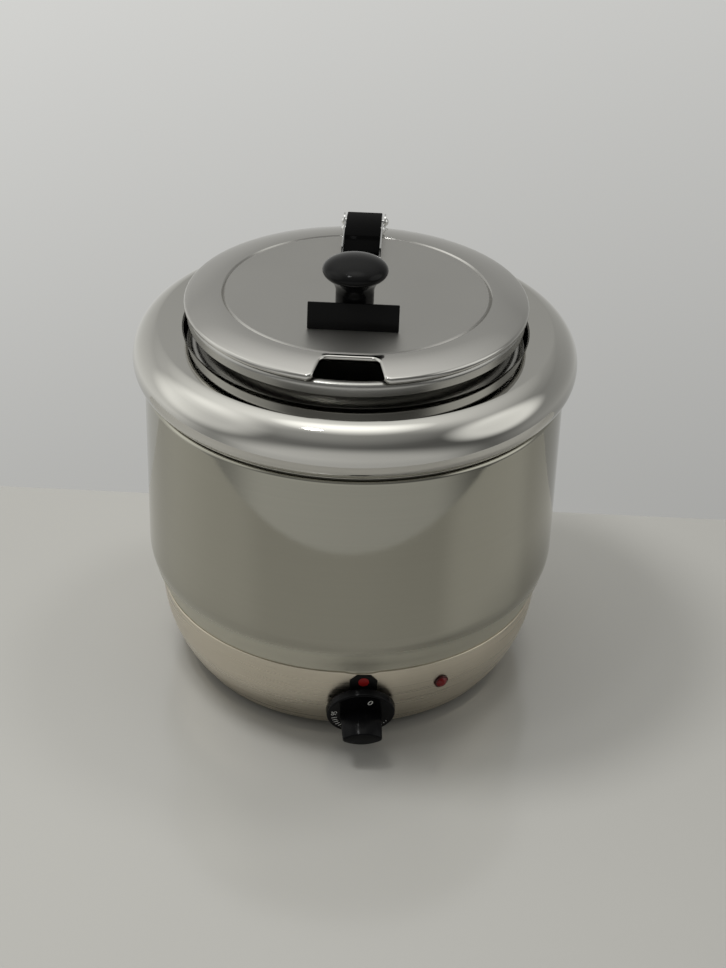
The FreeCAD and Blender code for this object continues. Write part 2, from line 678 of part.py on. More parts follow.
clamp_top = well_under - s.heater_tube_radius * 2
clamp_low = clamp_top - s.clamp_wall
clamp_reach = s.heater_circle + s.heater_tube_radius * 2
clamp_half = s.clamp_width / 2
clamp_bar = box(
    "clamp_bar",
    (-clamp_reach, -clamp_half, clamp_low),
    (clamp_reach, clamp_half, clamp_top),
)
clamp_hole = rod("clamp_hole", s.clamp_stud_radius + s.screw_gap, s.clamp_wall, (0, 0, clamp_low))
keep("heater_clamp", cut("heater_clamp", clamp_bar, clamp_hole))
stud_low = clamp_low - s.nut_rise * 2
keep("clamp_stud", rod("clamp_stud", s.clamp_stud_radius, well_under - stud_low, (0, 0, stud_low)))
keep("clamp_nut", lathe("clamp_nut", [
    (s.clamp_stud_radius + s.pin_gap, clamp_low - s.nut_rise),
    (s.clamp_stud_radius * 2, clamp_low - s.nut_rise),
    (s.clamp_stud_radius * 2, clamp_low),
    (s.clamp_stud_radius + s.pin_gap, clamp_low),
]))

# Thermal cut-out and thermostat bulb, against the well's floor
cutout_spot = (s.cutout_side, s.cutout_side, well_under - s.cutout_height)
keep("thermal_cutout", rod("thermal_cutout", s.cutout_radius, s.cutout_height, cutout_spot))
bulb_level = well_under - s.bulb_radius
bulb_spot = (-s.bulb_length / 2, -s.bulb_forward, bulb_level)
keep("sensor_bulb", rod("sensor_bulb", s.bulb_radius, s.bulb_length, bulb_spot, ((0, 1, 0), 90)))

# Thermostat behind the dial, its bush, nut and spindle
half_case = s.thermostat_side / 2
case_front = -s.thermostat_set_back
case_back = case_front - s.thermostat_depth
bush_end = s.pointer_wall + s.bush_nut_rise
thermostat_case = doc.addObject("Part::Box", "thermostat_case")
thermostat_case.setExpression("Length", s.thermostat_side.text)
thermostat_case.setExpression("Width", s.thermostat_side.text)
thermostat_case.setExpression("Height", s.thermostat_depth.text)
on_face(thermostat_case, dial_face, case_back, -half_case, -half_case)
thermostat_bush = rod("thermostat_bush", s.bush_radius, bush_end - case_front)
on_face(thermostat_bush, dial_face, case_front)
spindle_low = case_front - s.thermostat_depth / 2
spindle_hole = rod("spindle_hole", s.spindle_radius + s.pin_gap, bush_end - spindle_low + s.pin_gap)
on_face(spindle_hole, dial_face, spindle_low - s.pin_gap)
thermostat_solid = fuse("thermostat_solid", thermostat_case, thermostat_bush)
keep("thermostat_body", cut("thermostat_body", thermostat_solid, spindle_hole))

bush_nut = lathe("bush_nut", [
    (s.bush_radius + s.pin_gap, s.pointer_wall),
    (s.bush_nut_radius, s.pointer_wall),
    (s.bush_nut_radius, bush_end),
    (s.bush_radius + s.pin_gap, bush_end),
])
keep("thermostat_nut", on_face(bush_nut, dial_face))

dial_low = s.pointer_wall + s.dial_gap
skirt_top = dial_low + s.dial_skirt
dial_recess = bush_end + s.dial_gap
dial_disc = lathe("dial_disc", [
    (s.bush_nut_radius + s.dial_gap * 2, dial_low),
    (s.dial_radius - s.dial_edge, dial_low),
    (s.dial_radius, dial_low + s.dial_edge),
    (s.dial_radius - s.dial_edge / 2, skirt_top - s.dial_edge, QUARTER),
    (s.dial_radius - s.dial_edge * 2, skirt_top),
    (0, skirt_top),
    (0, dial_recess),
    (s.bush_nut_radius + s.dial_gap * 2, dial_recess),
])
on_face(dial_disc, dial_face)
grip_half = s.grip_width / 2
tip_half = s.grip_tip / 2
grip_bow = (s.grip_thickness - s.grip_tip) / (s.grip_width * 2)
grip_body = new_body("grip_body")
grip_outline = profile(grip_body, "grip_outline", [
    (-grip_half, -tip_half, grip_bow),
    (grip_half, -tip_half),
    (grip_half, tip_half, grip_bow),
    (-grip_half, tip_half),
], "XY_Plane")
grip_pad = grip_body.newObject("PartDesign::Pad", "grip_pad")
grip_pad.Profile = grip_outline
grip_root = skirt_top - s.dial_edge
grip_pad.setExpression("Length", (s.grip_height + s.dial_edge).text)
grip_pad.setExpression("TaperAngle", (-s.grip_taper).text)
doc.recompute()
grip_end = max(vertex.Z for vertex in grip_pad.Shape.Vertexes)
grip_rims = edges_at(grip_pad.Shape, grip_end)
grip_edge = grip_body.newObject("PartDesign::Fillet", "grip_edge")
grip_edge.Base = (grip_pad, grip_rims)
grip_edge.setExpression("Radius", s.grip_round.text)
on_face(grip_body, dial_face, grip_root)
dial_bore = rod("dial_bore", s.spindle_radius + s.pin_gap, s.spindle_reach)
on_face(dial_bore, dial_face, dial_recess)
dial_solid = fuse("dial_solid", dial_disc, grip_body)
keep("dial_knob", cut("dial_knob", dial_solid, dial_bore))
spindle_top = dial_recess + s.spindle_reach - s.seat_gap
dial_spindle = rod("dial_spindle", s.spindle_radius, spindle_top - spindle_low)
keep("dial_spindle", on_face(dial_spindle, dial_face, spindle_low))

# Pointer plate above the dial, a thin sheet curved like the base ring behind it


def base_envelope(name, stand_off):
    """The solid that the base ring's outer face bounds, grown by a stand-off."""
    return lathe(name, [
        (0, base_level),
        (base_bottom_radius + stand_off, base_level, s.base_bow),
        (s.base_seam_radius + stand_off, seam),
        (0, seam),
    ])


pointer_back = base_envelope("pointer_back", s.pin_gap)
pointer_front = base_envelope("pointer_front", s.pin_gap + s.pointer_wall)
pointer_root = s.pointer_top / 4
pointer_half = s.pointer_width / 2
pointer_blank = pad("pointer_blank", [
    (-pointer_half, -pointer_half),
    (pointer_half, -pointer_half),
    (pointer_half, s.pointer_top - pointer_half / 2),
    (pointer_half / 2, s.pointer_top),
    (-pointer_half / 2, s.pointer_top),
    (-pointer_half, s.pointer_top - pointer_half / 2),
], "XY_Plane", s.pointer_wall * 4 + pointer_root * 2)
pointer_lean = FreeCAD.Rotation(FreeCAD.Vector(0, 0, 1), -s.pointer_turn.value)
on_face(pointer_blank, dial_face.multiply(FreeCAD.Placement(FreeCAD.Vector(), pointer_lean)))
pointer_sheet = doc.addObject("Part::Common", "pointer_sheet")
pointer_sheet.Base = pointer_blank
pointer_sheet.Tool = pointer_front
keep("pointer_plate", cut("pointer_plate", pointer_sheet, pointer_back, bush_hole))
dot_reach = s.pointer_top.value - s.pointer_dot_drop.value
dot_turn = math.radians(s.pointer_turn.value)
dot_level = s.dial_level + dot_reach * math.cos(dot_turn)
dot_swing = math.degrees(dot_reach * math.sin(dot_turn) / s.base_seam_radius.value)
dot_face = base_face(dot_level, s.dial_azimuth.value + dot_swing)
pointer_dot = rod("pointer_dot", s.pointer_dot_radius, s.pointer_dot_rise)
keep("pointer_dot", on_face(pointer_dot, dot_face, s.pointer_wall + s.pin_gap))

# Lamp, with its lens outside and its nut inside
lens_dome = dome(s.lamp_lens_radius, s.lamp_lens_rise - s.lens_rim)
lamp_lens = lathe("lamp_lens", [
    (0, s.seat_gap),
    (s.lamp_lens_radius, s.seat_gap),
    (s.lamp_lens_radius, s.seat_gap + s.lens_rim, lens_dome),
    (0, s.seat_gap + s.lamp_lens_rise),
])
keep("lamp_lens", on_face(lamp_lens, lamp_face))
lamp_body = rod("lamp_body", s.lamp_body_radius, s.lamp_body_length + s.seat_gap)
keep("lamp_body", on_face(lamp_body, lamp_face, -s.lamp_body_length))
panel_back = -s.sheet_wall * 2 - s.seat_gap
lamp_nut = lathe("lamp_nut", [
    (s.lamp_body_radius + s.pin_gap, panel_back - s.panel_nut_rise),
    (s.lamp_lens_radius + s.panel_nut_rise / 2, panel_back - s.panel_nut_rise),
    (s.lamp_lens_radius + s.panel_nut_rise / 2, panel_back),
    (s.lamp_body_radius + s.pin_gap, panel_back),
])
keep("lamp_nut", on_face(lamp_nut, lamp_face))

# Cable gland at the back, and its nut
gland_seat = s.seat_gap
gland_low = panel_back - s.panel_nut_rise * 1.5
gland = lathe("gland", [
    (s.gland_bore_radius, gland_low),
    (s.gland_shank_radius, gland_low),
    (s.gland_shank_radius, gland_seat),
    (s.gland_flange_radius, gland_seat),
    (s.gland_flange_radius, s.gland_flange_length),
    (s.gland_shank_radius + s.sheet_wall, s.gland_flange_length, QUARTER / 2),
    (s.gland_bore_radius + s.sheet_wall, s.gland_length),
    (s.gland_bore_radius, s.gland_length),
])
keep("cable_gland", on_face(gland, gland_face))
gland_nut = lathe("gland_nut", [
    (s.gland_shank_radius + s.pin_gap, panel_back - s.panel_nut_rise),
    (s.gland_flange_radius, panel_back - s.panel_nut_rise),
    (s.gland_flange_radius, panel_back),
    (s.gland_shank_radius + s.pin_gap, panel_back),
])
keep("gland_nut", on_face(gland_nut, gland_face))

# Terminal block on the floor plate, and its screws
half_block = s.terminal_width / 2
terminal_top = plate_top + s.terminal_height
terminal_rear = s.terminal_back + s.terminal_depth
keep("terminal_block", box(
    "terminal_block",
    (-half_block, s.terminal_back, plate_top),
    (half_block, terminal_rear, terminal_top),
))
TERMINAL_COUNT = 4
terminal_spots = []
terminal_pitch = s.terminal_width.value / TERMINAL_COUNT
for i in range(TERMINAL_COUNT):
    shift = FreeCAD.Vector((i + 0.5) * terminal_pitch - half_block.value, 0, 0)
    terminal_spots.append(FreeCAD.Placement(shift, FreeCAD.Rotation()))
terminal_mid = s.terminal_back + s.terminal_depth / 2
terminal_screw_spot = (0, terminal_mid, terminal_top)
terminal_screw = rod("terminal_screw", s.terminal_screw_radius, s.screw_head_rise / 2, terminal_screw_spot)
keep("terminal_screws", copies("terminal_screw_group", terminal_screw, terminal_spots))

# Capillary from the thermostat's case to the bulb, under the element
case_spot = dial_face.multVec(FreeCAD.Vector(-half_case.value / 2, 0, case_back.value))
case_out = dial_face.Rotation.multVec(FreeCAD.Vector(0, 0, -1))
bulb_end = FreeCAD.Vector(-s.bulb_length.value / 2, -s.bulb_forward.value, bulb_level.value)
capillary_low = clamp_low.value - s.nut_rise.value
capillary_dip = s.capillary_dip.value
dip = bulb_end - FreeCAD.Vector(capillary_dip, 0, 0)
under = FreeCAD.Vector(dip.x - capillary_dip, dip.y - capillary_dip, capillary_low)
case_end = case_spot + case_out * s.capillary_run.value
capillary_points = [bulb_end, dip, under, case_end, case_spot]
capillary_bend = s.capillary_bend.value
keep("capillary_tube", tube("capillary_tube", capillary_points, s.capillary_radius.value, capillary_bend))

# Lift-out pot with its seat bead and rolled rim
pot_inside = s.pot_radius - s.sheet_wall
pot_under = rim - s.pot_depth
pot_floor = pot_under + s.sheet_wall
bead_low = ledge + s.seat_gap
rim_skin = rim_edge - s.sheet_wall
rim_inner_skin = rim - s.sheet_wall
inner_pot = lathe("inner_pot", [
    (0, pot_under),
    (s.pot_radius - s.pot_corner, pot_under, QUARTER),
    (s.pot_radius, pot_under + s.pot_corner),
    (s.pot_radius, bead_low),
    (s.pot_radius + s.pot_bead, bead_low),
    (s.pot_radius + s.pot_bead, bead_low + s.pot_bead_height / 2),
    (s.pot_radius, bead_low + s.pot_bead_height),
    (s.pot_radius, rim_inner_skin - s.rim_round, -QUARTER),
    (s.pot_radius + s.rim_round, rim_inner_skin),
    (rim_skin - s.rim_round, rim_inner_skin, -QUARTER),
    (rim_skin, rim_inner_skin - s.rim_round),
    (rim_skin, rim - s.rim_band),
    (rim_edge, rim - s.rim_band),
    (rim_edge, rim_inner_skin - s.rim_round, QUARTER),
    (rim_skin - s.rim_round, rim),
    (s.pot_radius + s.rim_round, rim, QUARTER),
    (pot_inside, rim_inner_skin - s.rim_round),
    (pot_inside, pot_under + s.pot_corner, -QUARTER),
    (s.pot_radius - s.pot_corner, pot_floor),
    (0, pot_floor),
])
keep("inner_pot", inner_pot)

# Collar, a rolled ring that sits on the seal and carries the hinge
belly = collar_seat + s.collar_belly
throat_edge = collar_opening + s.sheet_wall
collar_blank = lathe("collar_blank", [
    (collar_foot_radius - s.collar_flange, collar_seat),
    (collar_foot_radius, collar_seat, s.collar_low_bow),
    (collar_radius, belly, s.collar_high_bow),
    (collar_crown_radius, collar_top),
    (collar_opening + s.collar_edge_round, collar_top, QUARTER),
    (collar_opening, collar_top - s.collar_edge_round),
    (collar_opening, collar_top - s.collar_throat),
    (throat_edge, collar_top - s.collar_throat),
    (throat_edge, collar_top - s.collar_edge_round, -QUARTER),
    (collar_opening + s.collar_edge_round, collar_top - s.sheet_wall),
    (collar_crown_radius, collar_top - s.sheet_wall, -s.collar_high_bow),
    (collar_radius - s.sheet_wall, belly, -s.collar_low_bow),
    (collar_foot_radius - s.sheet_wall, collar_seat + s.sheet_wall),
    (collar_foot_radius - s.collar_flange, collar_seat + s.sheet_wall),
])
rivet_hole_radius = s.rivet_radius + s.pin_gap
ear_rivet_back = hinge_back + s.rivet_radius
collar_rivet_holes = []
for side in (1, -1):
    spot = (s.ear_rivet_side * side, ear_rivet_back, collar_top - s.collar_throat)
    collar_rivet_holes.append(rod("collar_rivet_hole", rivet_hole_radius, s.collar_throat * 2, spot))
keep("collar_ring", cut("collar_ring", collar_blank, *collar_rivet_holes))

# Collar bracket, a channel whose ears hold the hinge pin
flank_inner = s.block_width / 2 + s.seat_gap
flank_outer = flank_inner + s.bracket_wall
ear_inner = flank_outer + s.seat_gap
ear_outer = ear_inner + s.bracket_wall
ear_top = hinge_level + s.hinge_knuckle - s.sheet_wall
bracket_low = collar_top
bracket_floor = collar_top + s.bracket_wall
bracket_channel = pad("bracket_channel", [
    (-ear_outer, bracket_low),
    (ear_outer, bracket_low),
    (ear_outer, ear_top),
    (ear_inner, ear_top),
    (ear_inner, bracket_floor),
    (-ear_inner, bracket_floor),
    (-ear_inner, ear_top),
    (-ear_outer, ear_top),
], "XZ_Plane", s.ear_length)
doc.recompute()
ear_tips = []
for number, edge in enumerate(bracket_channel.Tip.Shape.Edges, start=1):
    ends = [vertex.Point for vertex in edge.Vertexes]
    level_edge = all(abs(end.z - ear_top.value) < EDGE_REACH for end in ends)
    across_edge = len(ends) == 2 and abs(ends[0].y - ends[1].y) < EDGE_REACH
    if level_edge and across_edge:
        ear_tips.append(f"Edge{number}")
ear_round = bracket_channel.newObject("PartDesign::Fillet", "ear_round")
ear_round.Base = (doc.getObject("bracket_channel_pad"), ear_tips)
ear_round.setExpression("Radius", s.ear_round.text)
place(bracket_channel, (0, hinge_back, 0))
pin_hole_radius = s.hinge_pin_radius + s.pin_gap
hinge_hole_spot = (-ear_outer, hinge_back, hinge_level)
hinge_hole = rod("hinge_hole", pin_hole_radius, ear_outer * 2, hinge_hole_spot, ((0, 1, 0), 90))
keep("collar_bracket", cut("collar_bracket", bracket_channel, hinge_hole, *collar_rivet_holes))


def rivet(name, low, high):
    """A rivet with a head above the high face and one under the low face."""
    return lathe(name, [
        (0, low - s.rivet_head_rise),
        (s.rivet_head_radius, low - s.rivet_head_rise),
        (s.rivet_head_radius, low),
        (s.rivet_radius, low),
        (s.rivet_radius, high),
        (s.rivet_head_radius, high, dome(s.rivet_head_radius, s.rivet_head_rise)),
        (0, high + s.rivet_head_rise),
    ])


def sideways(side, back):
    """Two places, one to each side of the middle."""
    spots = [FreeCAD.Vector(sign * side.value, back.value, 0) for sign in (1, -1)]
    return [FreeCAD.Placement(spot, FreeCAD.Rotation()) for spot in spots]


collar_rivet = rivet("collar_rivet", collar_top - s.sheet_wall, bracket_floor)
collar_rivet_spots = sideways(s.ear_rivet_side, ear_rivet_back)
keep("collar_rivets", copies("collar_rivet_group", collar_rivet, collar_rivet_spots))


def headed_pin(name, half, back, level):
    """A pin across the hinge with a domed head at each end."""
    return lathe(name, [
        (0, -half - s.pin_head_rise, dome(s.pin_head_radius, s.pin_head_rise)),
        (s.pin_head_radius, -half),
        (s.hinge_pin_radius, -half),
        (s.hinge_pin_radius, half),
        (s.pin_head_radius, half, dome(s.pin_head_radius, s.pin_head_rise)),
        (0, half + s.pin_head_rise),
    ], (0, back, level), ((0, 1, 0), 90))


keep("hinge_pin", headed_pin("hinge_pin", ear_outer + s.pin_gap, hinge_back, hinge_level))

# Lid with its ladle notch
lid_edge_top = lid_seat + s.lid_edge_rise
lid_inside = lid_radius - s.sheet_wall
crease_out = s.lid_disc_radius + s.lid_crease
crease_in = s.lid_disc_radius - s.lid_crease
lid_blank = lathe("lid_blank", [
    (0, lid_under),
    (crease_in, lid_under),
    (s.lid_disc_radius, lid_under - s.lid_crease),
    (crease_out, lid_under, -s.lid_bow),
    (lid_inside, lid_edge_top - s.sheet_wall / 2),
    (lid_inside, lid_seat + s.sheet_wall * 2, -QUARTER),
    (lid_inside - s.sheet_wall, lid_seat + s.sheet_wall),
    (lid_radius - s.lid_curl, lid_seat + s.sheet_wall),
    (lid_radius - s.lid_curl, lid_seat),
    (lid_radius - s.sheet_wall * 2, lid_seat, QUARTER),
    (lid_radius, lid_seat + s.sheet_wall * 2),
    (lid_radius, lid_edge_top, s.lid_bow),
    (crease_out, lid_top),
    (s.lid_disc_radius, lid_top - s.lid_crease),
    (crease_in, lid_top),
    (0, lid_top),
])
notch_half = s.notch_width / 2
notch_root = s.notch_depth - lid_radius
notch_out = -lid_radius - s.notch_round
notch_tool = pad("notch_tool", [
    (-notch_half, notch_out),
    (notch_half, notch_out),
    (notch_half, notch_root - s.notch_round, QUARTER),
    (notch_half - s.notch_round, notch_root),
    (s.notch_round - notch_half, notch_root, QUARTER),
    (-notch_half, notch_root - s.notch_round),
], "XY_Plane", s.lid_height * 4, (0, 0, lid_seat))
knob_hole_radius = s.knob_screw_radius + s.screw_gap
knob_hole_spot = (0, -s.knob_forward, lid_seat)
knob_hole = rod("knob_hole", knob_hole_radius, s.lid_height * 2, knob_hole_spot)
lid_rivet_holes = []
for side in (1, -1):
    spot = (s.bracket_rivet_side * side, s.bracket_rivet_back, lid_seat)
    lid_rivet_holes.append(rod("lid_rivet_hole", rivet_hole_radius, s.lid_height * 2, spot))
keep("lid_plate", cut("lid_plate", lid_blank, notch_tool, knob_hole, *lid_rivet_holes))

# Lid bracket, riveted to the lid, with a flank on each side of the block
bracket_top = lid_top + s.bracket_wall
plate_rear = s.lid_disc_radius - s.bracket_wall * 4
bracket_plate = box(
    "bracket_plate",
    (-flank_outer, s.bracket_front_back, lid_top),
    (flank_outer, plate_rear, bracket_top),
)
flanks = []
for low, high in ((flank_inner, flank_outer), (-flank_outer, -flank_inner)):
    flanks.append(box(
        "bracket_flank",
        (low, s.block_front_back, lid_top + s.seat_gap),
        (high, s.bracket_rear_back, lid_top + s.block_top),
    ))
block_pin_level = lid_top + s.block_top / 2
block_hole_spot = (-ear_outer, s.block_pin_back, block_pin_level)
block_hole = rod("block_hole", pin_hole_radius, ear_outer * 2, block_hole_spot, ((0, 1, 0), 90))
bracket_solid = fuse("bracket_solid", bracket_plate, *flanks)
keep("lid_bracket", cut("lid_bracket", bracket_solid, block_hole, *lid_rivet_holes))
lid_rivet = rivet("lid_rivet", lid_under, bracket_top)
lid_rivet_spots = sideways(s.bracket_rivet_side, s.bracket_rivet_back)
keep("lid_rivets", copies("lid_rivet_group", lid_rivet, lid_rivet_spots))

# Hinge block between the flanks, with a knuckle round the hinge pin
block_crown = lid_top + s.block_top
block_shelf = block_crown - s.block_step
block_blank = pad("block_blank", [
    (s.block_front_back, bracket_top),
    (hinge_back - s.hinge_knuckle, bracket_top),
    (hinge_back - s.hinge_knuckle, hinge_level, QUARTER),
    (hinge_back, hinge_level - s.hinge_knuckle, QUARTER),
    (hinge_back + s.hinge_knuckle, hinge_level, QUARTER),
    (hinge_back, hinge_level + s.hinge_knuckle),
    (hinge_back - s.hinge_knuckle * 2, block_crown),
    (s.block_step_back, block_crown),
    (s.block_step_back - s.block_step, block_shelf),
    (s.block_front_back + s.block_step, block_shelf),
    (s.block_front_back, block_shelf - s.block_step / 2),
], "YZ_Plane", s.block_width)
keep("hinge_block", cut("hinge_block", block_blank, block_hole, hinge_hole))
keep("block_pin", headed_pin("block_pin", flank_outer + s.pin_gap, s.block_pin_back, block_pin_level))

# Lid knob, its screw and washer, and the blank tag plate clamped under it
knob_bore = s.knob_screw_radius + s.pin_gap
head_low = s.knob_height - s.knob_head_height
crown_radius = s.knob_head_radius - s.knob_edge * 2
knob_crown = dome(crown_radius, s.knob_edge)
lid_knob = lathe("lid_knob", [
    (knob_bore, 0),
    (s.knob_foot_radius, 0),
    (s.knob_foot_radius, s.knob_edge),
    (s.knob_neck_radius + s.knob_edge / 2, s.knob_edge * 2, -QUARTER / 2),
    (s.knob_neck_radius, s.knob_edge * 4),
    (s.knob_neck_radius, head_low - s.knob_edge * 3, -QUARTER),
    (s.knob_head_radius - s.knob_edge, head_low),
    (s.knob_head_radius, head_low + s.knob_edge, QUARTER),
    (crown_radius, s.knob_height - s.knob_edge, knob_crown),
    (0, s.knob_height),
    (0, s.knob_bore_depth),
    (knob_bore, s.knob_bore_depth),
], (0, -s.knob_forward, knob_seat))
keep("lid_knob", lid_knob)
washer_low = lid_under - s.sheet_wall
washer = lathe("washer", [
    (knob_hole_radius, washer_low),
    (s.knob_washer_radius, washer_low),
    (s.knob_washer_radius, lid_under),
    (knob_hole_radius, lid_under),
], (0, -s.knob_forward, 0))
keep("knob_washer", washer)
knob_screw_top = knob_seat + s.knob_bore_depth - s.screw_head_rise
knob_screw = lathe("knob_screw", [
    (0, washer_low - s.screw_head_rise),
    (s.knob_screw_radius * 2, washer_low - s.screw_head_rise),
    (s.knob_screw_radius * 2, washer_low),
    (s.knob_screw_radius, washer_low),
    (s.knob_screw_radius, knob_screw_top),
    (0, knob_screw_top),
], (0, -s.knob_forward, 0))
keep("knob_screw", knob_screw)

tag_front = -s.knob_forward - s.tag_reach
tag_tongue = box(
    "tag_tongue",
    (-s.tag_tongue_width / 2, tag_front + s.tag_wall / 2, lid_top),
    (s.tag_tongue_width / 2, s.knob_foot_radius - s.knob_forward, knob_seat),
)
tag_face = doc.addObject("Part::Box", "tag_face")
tag_face.setExpression("Length", s.tag_width.text)
tag_face.setExpression("Width", s.tag_wall.text)
tag_face.setExpression("Height", s.tag_height.text)
tag_lift = s.tag_wall * math.sin(math.radians(s.tag_lean.value))
place(tag_face, (-s.tag_width / 2, tag_front, lid_top + tag_lift), ((1, 0, 0), -s.tag_lean.value))
tag_solid = fuse("tag_solid", tag_tongue, tag_face)
keep("tag_plate", cut("tag_plate", tag_solid, knob_hole))

# Check every object, then write each piece
doc.recompute()
for thing in doc.Objects:
    wrong = {"Invalid", "Error"} & set(thing.State)
    if wrong:
        raise RuntimeError(f"{thing.Name} is {wrong}")
os.makedirs("parts", exist_ok=True)
for thing in nodes:
    shape = thing.Shape
    if shape.isNull() or not shape.isValid() or not shape.Solids:
        raise RuntimeError(f"{thing.Label} has no valid shape")
    shape.exportStep(os.path.join("parts", thing.Label + ".step"))
    print(thing.Label, len(shape.Solids), round(shape.Volume))
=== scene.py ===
"""Soup kettle: the dressed model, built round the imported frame.

Sizes are in millimetres and become metres as each mesh is finished. The upright axis of the
kettle is Z, the table is z = 0 and the front, with the heat dial, faces -Y.
"""
from __future__ import annotations

import json
import logging
import math
from collections.abc import Callable, Sequence
from dataclasses import dataclass, field
from enum import Enum

import bmesh
import bpy
from mathutils import Matrix, Vector


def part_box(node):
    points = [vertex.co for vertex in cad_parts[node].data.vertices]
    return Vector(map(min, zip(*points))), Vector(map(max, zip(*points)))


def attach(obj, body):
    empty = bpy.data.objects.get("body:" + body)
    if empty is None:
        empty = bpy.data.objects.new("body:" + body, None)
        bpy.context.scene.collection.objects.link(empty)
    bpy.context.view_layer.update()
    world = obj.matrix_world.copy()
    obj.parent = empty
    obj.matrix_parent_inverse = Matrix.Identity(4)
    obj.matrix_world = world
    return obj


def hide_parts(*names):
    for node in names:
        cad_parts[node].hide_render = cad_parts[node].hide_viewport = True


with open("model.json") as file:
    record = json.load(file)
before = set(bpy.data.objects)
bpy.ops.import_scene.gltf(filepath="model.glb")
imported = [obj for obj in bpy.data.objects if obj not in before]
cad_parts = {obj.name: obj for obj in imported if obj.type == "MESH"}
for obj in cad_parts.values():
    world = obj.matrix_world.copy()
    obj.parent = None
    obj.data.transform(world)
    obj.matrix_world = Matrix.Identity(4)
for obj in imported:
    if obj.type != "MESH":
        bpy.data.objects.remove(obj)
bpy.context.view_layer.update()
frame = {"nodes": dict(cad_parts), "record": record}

LOG = logging.getLogger("soup_kettle")
MM = 0.001
ROUND = 256
SMALL_ROUND = 72
ARC_STEP = math.radians(5.0)
SHARP = math.radians(35.0)
QUARTER = math.tan(math.pi / 8) / 2
MERGE = 1e-4
HOLD = 0.8
HEM_BOW = 0.45
HARD = math.radians(40.0)
SOFT_STEPS = 3
NOISE_REACH = (0.3, 0.7)
UPRIGHT = (0.0, 0.0, 1.0)

Corner = tuple[float, ...]
Colour = tuple[float, float, float]
Socket = bpy.types.NodeSocket
NODE_BODY = {
    node: body
    for body, nodes in frame["record"]["behaviour"]["bodies"].items()
    for node in nodes
}


# Finishes


class Nodes:
    """The nodes of a material or a world, added one at a time."""

    def __init__(self, tree: bpy.types.NodeTree) -> None:
        """Take the tree that the nodes go into."""
        self.tree = tree

    def add(self, kind: str, inputs: dict | None = None, **settings: object) -> bpy.types.Node:
        """Add a node.

        Args:
            kind: Blender's name for the node type, after "ShaderNode".
            inputs: Values, or sockets to link, by input name or number.
            settings: Properties of the node itself.

        Returns:
            The new node.
        """
        node = self.tree.nodes.new("ShaderNode" + kind)
        for name, value in settings.items():
            setattr(node, name, value)
        for name, value in (inputs or {}).items():
            self.feed(node, name, value)
        return node

    def feed(self, node: bpy.types.Node, name: str | int, value: object) -> None:
        """Set an input of a node, or link it where the value is a socket.

        Args:
            node: The node.
            name: The input's name or number.
            value: A plain value, or the socket that gives it.
        """
        if isinstance(value, bpy.types.NodeSocket):
            self.tree.links.new(value, node.inputs[name])
        else:
            node.inputs[name].default_value = value

    def combined(self, operation: str, first: Socket, second: Socket) -> Socket:
        """Two values put together by a Math operation."""
        return self.add("Math", {0: first, 1: second}, operation=operation).outputs[0]

    def ranged(
        self, value: Socket, low: float, high: float, start: float, end: float, shape: str = "LINEAR"
    ) -> Socket:
        """A value spread from one range to another.

        Args:
            value: The value.
            low: Where its own range begins.
            high: Where its own range ends.
            start: What it becomes at low.
            end: What it becomes at high.
            shape: How it runs between the two.

        Returns:
            The new value.
        """
        node = self.add("MapRange", {
            "Value": value, "From Min": low, "From Max": high, "To Min": start, "To Max": end,
        }, interpolation_type=shape)
        return node.outputs["Result"]


class Shader(Nodes):
    """A material's nodes on Object coordinates, round one Principled shader."""

    def __init__(self, name: str) -> None:
        """Start a material with a bare Principled shader."""
        self.material = bpy.data.materials.new(name)
        self.material.use_nodes = True
        super().__init__(self.material.node_tree)
        self.surface = self.tree.nodes["Principled BSDF"]

    def set(self, **sockets: object) -> None:
        """Set or link sockets of the Principled shader, with _ for each space in a name."""
        for name, value in sockets.items():
            self.feed(self.surface, name.replace("_", " "), value)

    def coords(self, scale: Sequence[float]) -> Socket:
        """Object coordinates in metres, stretched by a scale along each axis."""
        place = self.add("TexCoord").outputs["Object"]
        return self.add("Mapping", {"Vector": place, "Scale": tuple(scale)}).outputs["Vector"]

    def noise(self, scale: Sequence[float], detail: float = 3.0) -> Socket:
        """Cloudy noise, with features about one over the scale in metres along each axis."""
        inputs = {"Vector": self.coords(scale), "Scale": 1.0, "Detail": detail}
        return self.add("TexNoise", inputs).outputs["Fac"]

    def spread(self, value: Socket, low: float, high: float) -> Socket:
        """A noise value spread over a range, from low to high."""
        return self.ranged(value, *NOISE_REACH, low, high)

    def blend(self, factor: Socket, first: Colour, second: Colour) -> Socket:
        """A colour between two, by a factor."""
        inputs = {0: factor, 6: (*first, 1.0), 7: (*second, 1.0)}
        return self.add("Mix", inputs, data_type="RGBA").outputs[2]

    def within(
        self, limit: float, inside: float, outside: float, axes: Sequence[float] = (1.0, 1.0, 0.0),
        soft: float = 0.0015,
    ) -> Socket:
        """One value near the origin and another away from it.

        Args:
            limit: The distance in metres where the value changes.
            inside: The value within it.
            outside: The value beyond it.
            axes: Which axes the distance is measured along.
            soft: How far to each side of the limit the change reaches, in metres.

        Returns:
            The value.
        """
        place = self.add("VectorMath", {"Vector": self.coords(axes)}, operation="LENGTH")
        return self.ranged(place.outputs["Value"], limit - soft, limit + soft, inside, outside)

    def scaled(self, colour: Socket, factor: Socket) -> Socket:
        """A colour made darker or lighter by a factor."""
        node = self.add("VectorMath", {"Vector": colour, "Scale": factor}, operation="SCALE")
        return node.outputs["Vector"]

    def bump(self, height: Socket, strength: float, depth: float) -> None:
        """Raise the surface by a height value, to a depth in metres."""
        node = self.add("Bump", {"Height": height, "Strength": strength, "Distance": depth})
        self.set(Normal=node.outputs["Normal"])


def shade(colour: Colour, factor: float) -> Colour:
    """A colour made darker or lighter."""
    return tuple(min(1.0, part * factor) for part in colour)


